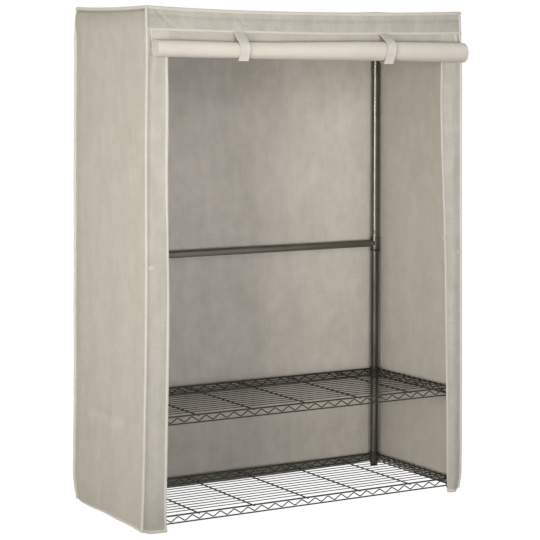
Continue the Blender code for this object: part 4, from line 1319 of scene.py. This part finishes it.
flat = (2 * POLE_HALF + SEAM_ALLOWANCE, VALANCE_HEIGHT)
cover_panel("front_valance", "valance", (200, 20), valance_point, (0, -1, 0), flat, TAUPE_VALANCE)

# %% [markdown]
# ## Piping and bindings
#
# A cream cord is sewn into every seam, and a cream tape is folded over every
# free edge. Both are one outline carried along a line: round for the piping,
# a flat U for the tape. The outline turns with the line, so that the tape
# lies on the cloth's two faces all the way.


# %% Carry an outline along a line
def swept(name, path, outs, profile, material, closed=False):
    """profile holds (across, out) points, and outs the direction that faces out at each point of the path."""
    made = bmesh.new()
    chart = made.loops.layers.uv.new("cloth")
    rings, runs = [], [0.0]
    count = len(path)
    for index, point in enumerate(path):
        before = path[index - 1] if index or closed else point
        after = path[(index + 1) % count] if index < count - 1 or closed else point
        along = (after - before).normalized()
        out = outs[index] - along * outs[index].dot(along)
        out.normalize()
        across = along.cross(out)
        rings.append([made.verts.new(point + across * a + out * b) for a, b in profile])
        if index:
            runs.append(runs[-1] + (point - path[index - 1]).length)
    runs.append(runs[-1] + (path[0] - path[-1]).length)
    around = [0.0]
    for (a0, b0), (a1, b1) in zip(profile, profile[1:] + profile[:1]):
        around.append(around[-1] + math.hypot(a1 - a0, b1 - b0))
    size = len(profile)
    for index in range(count if closed else count - 1):
        near, far = rings[index], rings[(index + 1) % count]
        for side in range(size):
            other = (side + 1) % size
            face = made.faces.new((near[side], near[other], far[other], far[side]))
            corners = ((side, index), (side + 1, index), (side + 1, index + 1), (side, index + 1))
            for loop, (u, v) in zip(face.loops, corners):
                loop[chart].uv = (around[u], runs[v])
    if not closed:
        made.faces.new(list(reversed(rings[0])))
        made.faces.new(rings[-1])
    bmesh.ops.recalc_face_normals(made, faces=made.faces)
    mesh = bpy.data.meshes.new(name)
    made.to_mesh(mesh)
    made.free()
    obj = bpy.data.objects.new(name, mesh)
    bpy.context.scene.collection.objects.link(obj)
    deselect_all()
    obj.select_set(True)
    bpy.context.view_layer.objects.active = obj
    bpy.ops.object.shade_smooth_by_angle(angle=math.radians(50))
    mesh.materials.append(material)
    return obj


def round_profile(wide, deep, sides=12):
    angles = [2 * math.pi * index / sides for index in range(sides)]
    return [(wide / 2 * math.cos(angle), deep / 2 * math.sin(angle)) for angle in angles]


def tape_profile(width, thickness):
    """A folded tape: the fold is at across 0, and its two legs reach the width into the cloth."""
    half = thickness / 2
    return [
        (width, half * 0.55),
        (width * 0.93, half),
        (width * 0.2, half * 1.08),
        (0.0, half * 0.75),
        (-width * 0.05, 0.0),
        (0.0, -half * 0.75),
        (width * 0.2, -half * 1.08),
        (width * 0.93, -half),
        (width, -half * 0.55),
    ]


# %% Corner piping
# How wide and how deep each cord is, and how far above the hem's line its foot is.
CORDS = {
    "front_left": ((0.0108, 0.0080), HEM_FRONT_LEFT),
    "front_right": ((0.0104, 0.0078), RIGHT_LIFT),
    "rear_left": ((0.0070, 0.0112), HEM_REAR_LEFT + TURNED_UP),
    "rear_right": ((0.0088, 0.0072), RIGHT_LIFT),
}
BELOW_HEM = 0.0005
# The rear left cord is moved by these: along its length, near the top and at its foot.
CORD_SHIFT, CORD_TOP_SHIFT = Vector((0.0008, -0.0008, 0)), Vector((0.0045, 0.0010, 0))
CORD_FOOT_SHIFT = Vector((0.0015, -0.0006, 0))


def steps_between(low, high, count):
    return [lerp(low, high, index / count) for index in range(count + 1)]


for corner, (side, depth) in CORNERS.items():
    size, lift = CORDS[corner]
    low = HEM + lift - BELOW_HEM
    rise = REAR_RISE if depth > 0 else LEFT_RISE if side < 0 else 0.0
    heights = steps_between(low, TOP - UNDER_TOP + rise, 90)
    wobble = [0.0005 * noise.noise(Vector((z * 14, side * 3.0, depth * 2.0))) for z in heights]
    path = [corner_at(corner, z) + Vector((-side * shift, 0, 0)) for z, shift in zip(heights, wobble)]
    if corner == "rear_left":
        # Near the top this cord is folded in behind the side wall.
        for point in path:
            point += CORD_SHIFT.lerp(CORD_TOP_SHIFT, smooth_step(1.590, 1.615, point.z))
            point += CORD_FOOT_SHIFT * (1 - smooth_step(low, low + 0.04, point.z))
    outs = [Vector((side, depth, 0))] * len(path)
    finish = WORN_BINDING if corner == "front_left" else BINDING
    cord = swept("corner_piping_" + corner, path, outs, round_profile(*size), finish)
    dress(cord, "cover", "piping")
print(len(CORDS), "corner cords")

# %% Top piping
TOP_CORD = (0.0115, 0.0072)
STEPS_PER_WALL = 82


def top_loop():
    """Points and outward directions round the top edge, corner by corner."""
    path, outs = [], []
    walls = (
        ("right", "front_right", "rear_right", (1, 0, 0)),
        ("rear", "rear_right", "rear_left", (0, 1, 0)),
        ("left", "rear_left", "front_left", (-1, 0, 0)),
        ("front", "front_left", "front_right", (0, -1, 0)),
    )
    for wall, start, end, out in walls:
        a, b = corner_at(start, TOP), corner_at(end, TOP)
        for index in range(STEPS_PER_WALL):
            share = index / STEPS_PER_WALL
            place = a.lerp(b, share)
            place.z = TOP - 0.0042 - top_edge(wall, share if wall in ("right", "front") else 1 - share)
            near = min(share, 1 - share)
            place -= Vector(out) * 0.0012 * bell(near, 0.008)
            if wall == "right":
                place.x += over_pole(place, 1, share)
            path.append(place)
            outs.append(Vector(out) + Vector((0, 0, 0.4)))
    return path, outs


path, outs = top_loop()
cord = swept("top_piping", path, outs, round_profile(*TOP_CORD), BINDING, closed=True)
dress(cord, "cover", "piping", "cover_piping")
print("top cord through", len(path), "points")

# %% Seam piping under the valance
SEAM_CORD = (0.0086, 0.0062)
xs = steps_between(-PIPING_X + 0.002, PIPING_X - 0.002, 80)
path = [Vector((x, PIPING_FRONT - 0.0010, through(SEAM_LINE, x))) for x in xs]
cord = swept("seam_piping", path, [Vector((0, -1, 0))] * len(path), round_profile(*SEAM_CORD), BINDING)
dress(cord, "cover", "piping", "valance_piping")
print("seam cord %.2f m long" % (xs[-1] - xs[0]))

# %% Tape on the hems and on the strips' free edges
# How far each tape reaches into the cloth, and how thick it is.
HEM_TAPE, STRIP_EDGE_TAPE, STRIP_HEM_TAPE = (0.0076, 0.0024), (0.0100, 0.0026), (0.0100, 0.0028)


def tape_on(name, path, out, into, size):
    """Tape folded over an edge. into points into the cloth, and out is one direction or a list of them."""
    outs = out if isinstance(out, list) else [Vector(out)] * len(path)
    along = (path[1] - path[0]).normalized()
    side = 1 if along.cross(outs[0]).dot(Vector(into)) > 0 else -1
    profile = [(side * a, b) for a, b in tape_profile(*size)]
    return swept(name, path, outs, profile, BINDING)


def hem_tape(name, place_at, out, steps, size=HEM_TAPE):
    """Tape along the foot of a panel, on the middle of its cloth."""
    middle = Vector(out) * CLOTH / 2
    path = [place_at(share, 0.0) + middle for share in steps_between(0.0, 1.0, steps)]
    dress(tape_on(name, path, out, (0, 0, 1), size), "cover", "piping")


for end, side in SIDES.items():
    hem_tape("hem_tape_side_" + end, side_point(end, side), (side, 0, 0), 90)
    place_at = strip_point(end, side)
    path = [place_at(1.0, up) + Vector((0, -CLOTH / 2, 0)) for up in steps_between(0.0, 1.0, 140)]
    edge = tape_on("edge_tape_strip_" + end, path, (0, -1, 0), (side, 0, 0), STRIP_EDGE_TAPE)
    dress(edge, "cover", "piping")
    hem_tape("hem_tape_strip_" + end, place_at, (0, -1, 0), 12, STRIP_HEM_TAPE)
hem_tape("hem_tape_back", back_point, (0, 1, 0), 60)
print("tape on 5 hems and 2 free edges")

# %% Stitched ties on the strips
# Three short ends of tape are stitched to the strips and stand out a little:
# (strip, share across, height, length, width).
TACKS = (
    ("left", 0.20, 0.8530, 0.030, 0.0130),
    ("right", 0.14, 0.8450, 0.014, 0.0110),
    ("right", 0.99, 0.8960, 0.012, 0.0100),
)
# A tack arches this high, and climbs this much from its middle to its right end.
TACK_ARCH, TACK_CLIMB, TACK_THICKNESS = 0.0016, 0.0016, 0.0012
for number, (end, share, z, length, width) in enumerate(TACKS):
    place_at = strip_point(end, SIDES[end])
    bottom, seam = place_at(share, 0.0).z, place_at(share, 1.0).z
    middle = place_at(share, (z - bottom) / (seam - bottom))
    path = []
    for step in steps_between(-1.0, 1.0, 8):
        arch = TACK_ARCH * (1 - step * step)
        path.append(middle + Vector((step * length / 2, -CLOTH - 0.0002 - arch, TACK_CLIMB * step)))
    outs = [Vector((0, -1, 0))] * len(path)
    tack = swept("strip_tie_tack_%d" % (number + 1), path, outs, round_profile(width, TACK_THICKNESS), STRAP)
    dress(tack, "cover", "piping")
print(len(TACKS), "tie tacks")

# %% [markdown]
# ## The door, rolled up
#
# The door hangs from the seam as a short drop cloth and is then wound up,
# reverse side out. Just under a metre and a half is wound, and at a little
# over 2 mm a turn that makes fourteen turns. The coils aren't even: some lie
# close and some leave a gap, and at the ends each turn stands out a little
# more or less than the next.

# %% The roll's line
DOOR_LEFT, DOOR_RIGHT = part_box("door_roll")[0].x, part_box("door_roll")[1].x
DOOR_WIDTH = DOOR_RIGHT - DOOR_LEFT
ROLL_MIDDLE = ((-0.592, 1.5421), (-0.255, 1.5363), (0.242, 1.5360), (0.582, 1.5320))
ROLL_RADIUS = ((-0.592, 0.0294), (-0.255, 0.0298), (0.242, 0.0356), (0.582, 0.0367))
ROLL_TURNS, STEPS_PER_TURN = 14, 18
CORE_RADIUS = 0.0030
# At the roll's ends the turns stand in by up to twice this much.
END_RELIEF = 0.0012
APRON_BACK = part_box("door_apron")[1].y
STRAPS_AT = {"left": -0.2835, "right": 0.2700}


def roll_radius(x):
    pinch = sum(bell(x - place, 0.030) for place in STRAPS_AT.values())
    return through(ROLL_RADIUS, x) - 0.0009 * pinch


def roll_centre(x):
    return Vector((x, APRON_BACK - 0.0002 - through(ROLL_RADIUS, x), through(ROLL_MIDDLE, x)))


def roll_point(across, up):
    """across runs from the outer end of the cloth, at the back, to the core, and up from left to right."""
    x = lerp(DOOR_LEFT, DOOR_RIGHT, up)
    turn = across * ROLL_TURNS
    edge = max(0.0, 1 - min(up, 1 - up) / 0.03)
    x += math.copysign(edge, up - 0.5) * END_RELIEF * (math.sin(turn * 2.4 + 1.0) - 1)
    # About every third gap between the turns is wider.
    shrink = across + 0.005 * math.sin(2 * math.pi * turn / 2.9)
    radius = lerp(roll_radius(x) - 0.0017, CORE_RADIUS, min(max(shrink, 0.0), 1.0) ** 0.95)
    angle = 2 * math.pi * turn
    around = Vector((x * 5.0, math.cos(angle) * 1.2, math.sin(angle) * 1.2))
    dent = 0.0007 * noise.noise(around) * (1 - across)
    for place in STRAPS_AT.values():
        dent += 0.0006 * bell(x - place, 0.07) * math.sin((x - place) * 260 + angle * 2) * (1 - across)
    centre = roll_centre(x)
    return centre + Vector((0, (radius + dent) * math.cos(angle), -(radius + dent) * math.sin(angle)))


# %% Wind the door
ROLL_CLOTH = 0.0015


def spiral_length(x):
    steps = ROLL_TURNS * STEPS_PER_TURN
    up = (x - DOOR_LEFT) / DOOR_WIDTH
    points = [roll_point(index / steps, up) for index in range(steps + 1)]
    return sum((b - a).length for a, b in zip(points, points[1:]))


wound = spiral_length(0.0)
flat = (wound, DOOR_WIDTH)
roll = cloth_sheet(
    "wound_door", (ROLL_TURNS * STEPS_PER_TURN, 40), roll_point, (0, 0, 0.001), ROLL_CLOTH,
    ROLL_CREAM, ROLL_CREAM, flat, BINDING,
)
dress(roll, "rolled_door", "door_reverse_cloth", "door_roll")
# All but the last turns are used up when the door is down.
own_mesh(roll)
print("door: %.2f m wound in %d turns, %d faces" % (wound, ROLL_TURNS, len(roll.data.polygons)))


# %% The drop cloth
DROP_START, DROP_END = 1.5880, roll_centre(0).z + 0.004
DROP_SLOPE, BELOW_SEAM = 0.0112, 0.0030
DOOR_TAPE = (0.0080, 0.0024)


def drop_point(across, up):
    x = lerp(DOOR_LEFT, DOOR_RIGHT, across)
    low = roll_centre(x).z
    z = lerp(low, through(SEAM_LINE, x) - BELOW_SEAM, up)
    unrest = 1 + noise.noise(Vector((across * 9, z * 3, 7.7)))
    swell = 0.0006 * unrest * math.sin(math.pi * min(up * 1.2, 1.0))
    # It slopes forwards, so that the lowered door hangs clear of the front strips all the way down.
    slope = DROP_SLOPE * min(1.0, max(0.0, (DROP_START - z) / (DROP_START - DROP_END)))
    return Vector((x, APRON_BACK - swell - slope, z))


flat = (DOOR_WIDTH, SEAM - BELOW_SEAM - roll_centre(0).z)
drop = cloth_sheet("door_drop", (80, 16), drop_point, (0, -1, 0), CLOTH, TAUPE_DROP, TAUPE_DROP, flat)
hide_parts("door_apron")
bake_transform(drop)
for end, across in (("left", 0.0), ("right", 1.0)):
    path = [drop_point(across, up) + Vector((0, -CLOTH / 2, 0)) for up in steps_between(0.0, 1.0, 16)]
    edge = tape_on("door_edge_tape_" + end, path, (0, -1, 0), (-SIDES[end], 0, 0), DOOR_TAPE)
    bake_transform(edge)
print("drop cloth %.0f mm tall" % (1000 * flat[1]))

# %% [markdown]
# ## The straps
#
# Two straps hold the roll. Each comes out of the seam, lies over the front of
# the roll and ends in a free square tab, and its other half passes behind and
# under the roll. A strap is a long grid that follows the roll's curve, with
# tape on both edges of its front half.

# %% Strap lines
STRAP_WIDTH = 0.036
STRAP_CLOTH = 0.0014
STRAP_TILT = {"left": 0.004, "right": 0.009}
STRAP_END_Z = {"left": 1.5025, "right": 1.4940}
# Round the roll, the front half leaves it at this angle and the back half lies between these two.
LEAVES_AT, BACK_FROM, BACK_TO = math.radians(212), math.radians(-12), math.radians(-126)
TAB_STEPS = 8


def arc(x, radius, start, end, steps):
    """(y, z) points round the roll's middle from one angle to another."""
    centre, angles = roll_centre(x), steps_between(start, end, steps)
    return [(centre.y + radius * math.cos(angle), centre.z + radius * math.sin(angle)) for angle in angles]


def strap_line(end):
    """(y, z) points of the front strap from the seam down to its free end."""
    x = STRAPS_AT[end]
    centre = roll_centre(x)
    radius = roll_radius(x) + 0.0012
    start = Vector((0, APRON_BACK - 0.0022, through(SEAM_LINE, x) - 0.0010))
    # A straight run from the seam touches the roll at this angle.
    away = start - Vector((0, centre.y, centre.z))
    reach = math.hypot(away.y, away.z)
    touch = math.atan2(away.z, away.y) + math.acos(min(1.0, radius / reach))
    line = [(start.y, start.z)] + arc(x, radius, touch, LEAVES_AT, 32)
    y, z = line[-1]
    end_y = y - 0.55 * (z - STRAP_END_Z[end]) * math.sin(LEAVES_AT)
    for index in range(TAB_STEPS):
        share = (index + 1) / TAB_STEPS
        line.append((lerp(y, end_y, share), lerp(z, STRAP_END_Z[end], share)))
    return line


def lengths_along(line):
    """How far each point of the line is from its start."""
    lengths = [0.0]
    for (y0, z0), (y1, z1) in zip(line, line[1:]):
        lengths.append(lengths[-1] + math.hypot(y1 - y0, z1 - z0))
    return lengths


def along_line(line, share):
    """The point at a share of the line's length."""
    lengths = lengths_along(line)
    at = share * lengths[-1]
    index = next((i for i in range(len(line) - 1) if lengths[i + 1] >= at), len(line) - 2)
    part = (at - lengths[index]) / (lengths[index + 1] - lengths[index])
    (y0, z0), (y1, z1) = line[index], line[index + 1]
    return lerp(y0, y1, part), lerp(z0, z1, part)


def strap_point(x, line, tilt=0.0):
    def place_at(across, along):
        y, z = along_line(line, along)
        return Vector((x + lerp(-0.5, 0.5, across) * STRAP_WIDTH + tilt * (1 - 2 * along), y, z))

    return place_at


# %% Sew the straps
STRAP_TAPE = (0.0052, 0.0026)

for end, x in STRAPS_AT.items():
    line = strap_line(end)
    flat = (STRAP_WIDTH, lengths_along(line)[-1])
    place_at = strap_point(x, line, STRAP_TILT[end])
    strap = cloth_sheet("roll_strap_" + end, (8, 48), place_at, (0, -1, 0.2), STRAP_CLOTH, STRAP, STRAP, flat)
    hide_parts("tie_strap_" + end)
    centre = roll_centre(x)
    parts = [strap]
    for (edge_name, side), across in zip(SIDES.items(), (0.0, 1.0)):
        path, outs = [], []
        for along in steps_between(0.02, 1.0, 44):
            point = place_at(across, along)
            out = (point - Vector((point.x, centre.y, centre.z))).normalized()
            path.append(point + out * STRAP_CLOTH / 2)
            outs.append(out)
        edge = tape_on("strap_edge_%s_%s" % (end, edge_name), path, outs, (-side, 0, 0), STRAP_TAPE)
        parts.append(edge)
    for piece in parts:
        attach(piece, "cover")
        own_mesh(piece)
    print("front strap", end, "%.0f mm long" % (1000 * flat[1]))

# %% Under straps
# The back halves hang just behind the drop cloth.
BACK_Y = APRON_BACK + 0.0006
BACK_CLOTH = 0.0010

for end, x in STRAPS_AT.items():
    line = [(BACK_Y, through(SEAM_LINE, x) - 0.004), (BACK_Y, roll_centre(x).z + 0.004)]
    line += arc(x, roll_radius(x) + 0.0010, BACK_FROM, BACK_TO, 24)
    flat = (STRAP_WIDTH, lengths_along(line)[-1])
    place_at = strap_point(x, line)
    strap = cloth_sheet("back_strap_" + end, (4, 40), place_at, (0, 1, -1), BACK_CLOTH, STRAP, STRAP, flat)
    dress(strap, "cover", "strap_cloth", "under_strap_" + end)
    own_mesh(strap)
    print("back strap", end, "%.0f mm long" % (1000 * flat[1]))

# %% [markdown]
# ## What is cloth
#
# The size each cloth was cut to is printed. The walls and the top are
# cut from the spacing of the poles with a seam's width added, and the wound
# cloth is as long as its spiral.

HANG = {
    "side_wall_left": ("hung", ["shelf_top"], ["hem_tape_side_left"]),
    "side_wall_right": ("hung", ["shelf_top"], ["hem_tape_side_right"]),
    "back_wall": ("hung", ["shelf_top"], ["hem_tape_back"]),
    "top_wall": ("laid", ["shelf_top"], ["top_piping"]),
    "front_edge_strip_left": ("hung", ["valance_piping"], ["edge_tape_strip_left", "hem_tape_strip_left"]),
    "front_edge_strip_right": ("hung", ["valance_piping"], ["edge_tape_strip_right", "hem_tape_strip_right"]),
    "front_valance": ("hung", ["cover_piping"], ["seam_piping"]),
    "wound_door": ("folded", ["door_drop"], []),
    "door_drop": ("hung", ["valance_piping"], ["door_edge_tape_left", "door_edge_tape_right"]),
    "roll_strap_left": ("hung", ["valance_piping"], []),
    "roll_strap_right": ("hung", ["valance_piping"], []),
    "back_strap_left": ("hung", ["valance_piping"], []),
    "back_strap_right": ("hung", ["valance_piping"], []),
}
for name, (held, rests_on, trims) in HANG.items():
    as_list(rests_on)
    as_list(trims)
    print(name, "cut to %.3f x %.3f m" % CUT[name])

# %% [markdown]
# ## Finish
#
# The box of the dressed rail and the count of its triangles are printed.

# %% Write the sizes and finish
low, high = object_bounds()
print("visual box in mm:", [round(1000 * value) for value in (*low, *high)])
shown = [piece.data for piece in bpy.context.scene.objects if piece.type == "MESH" and not piece.hide_render]
triangles = sum(len(face.vertices) - 2 for mesh in shown for face in mesh.polygons)
print(triangles, "triangles in all")
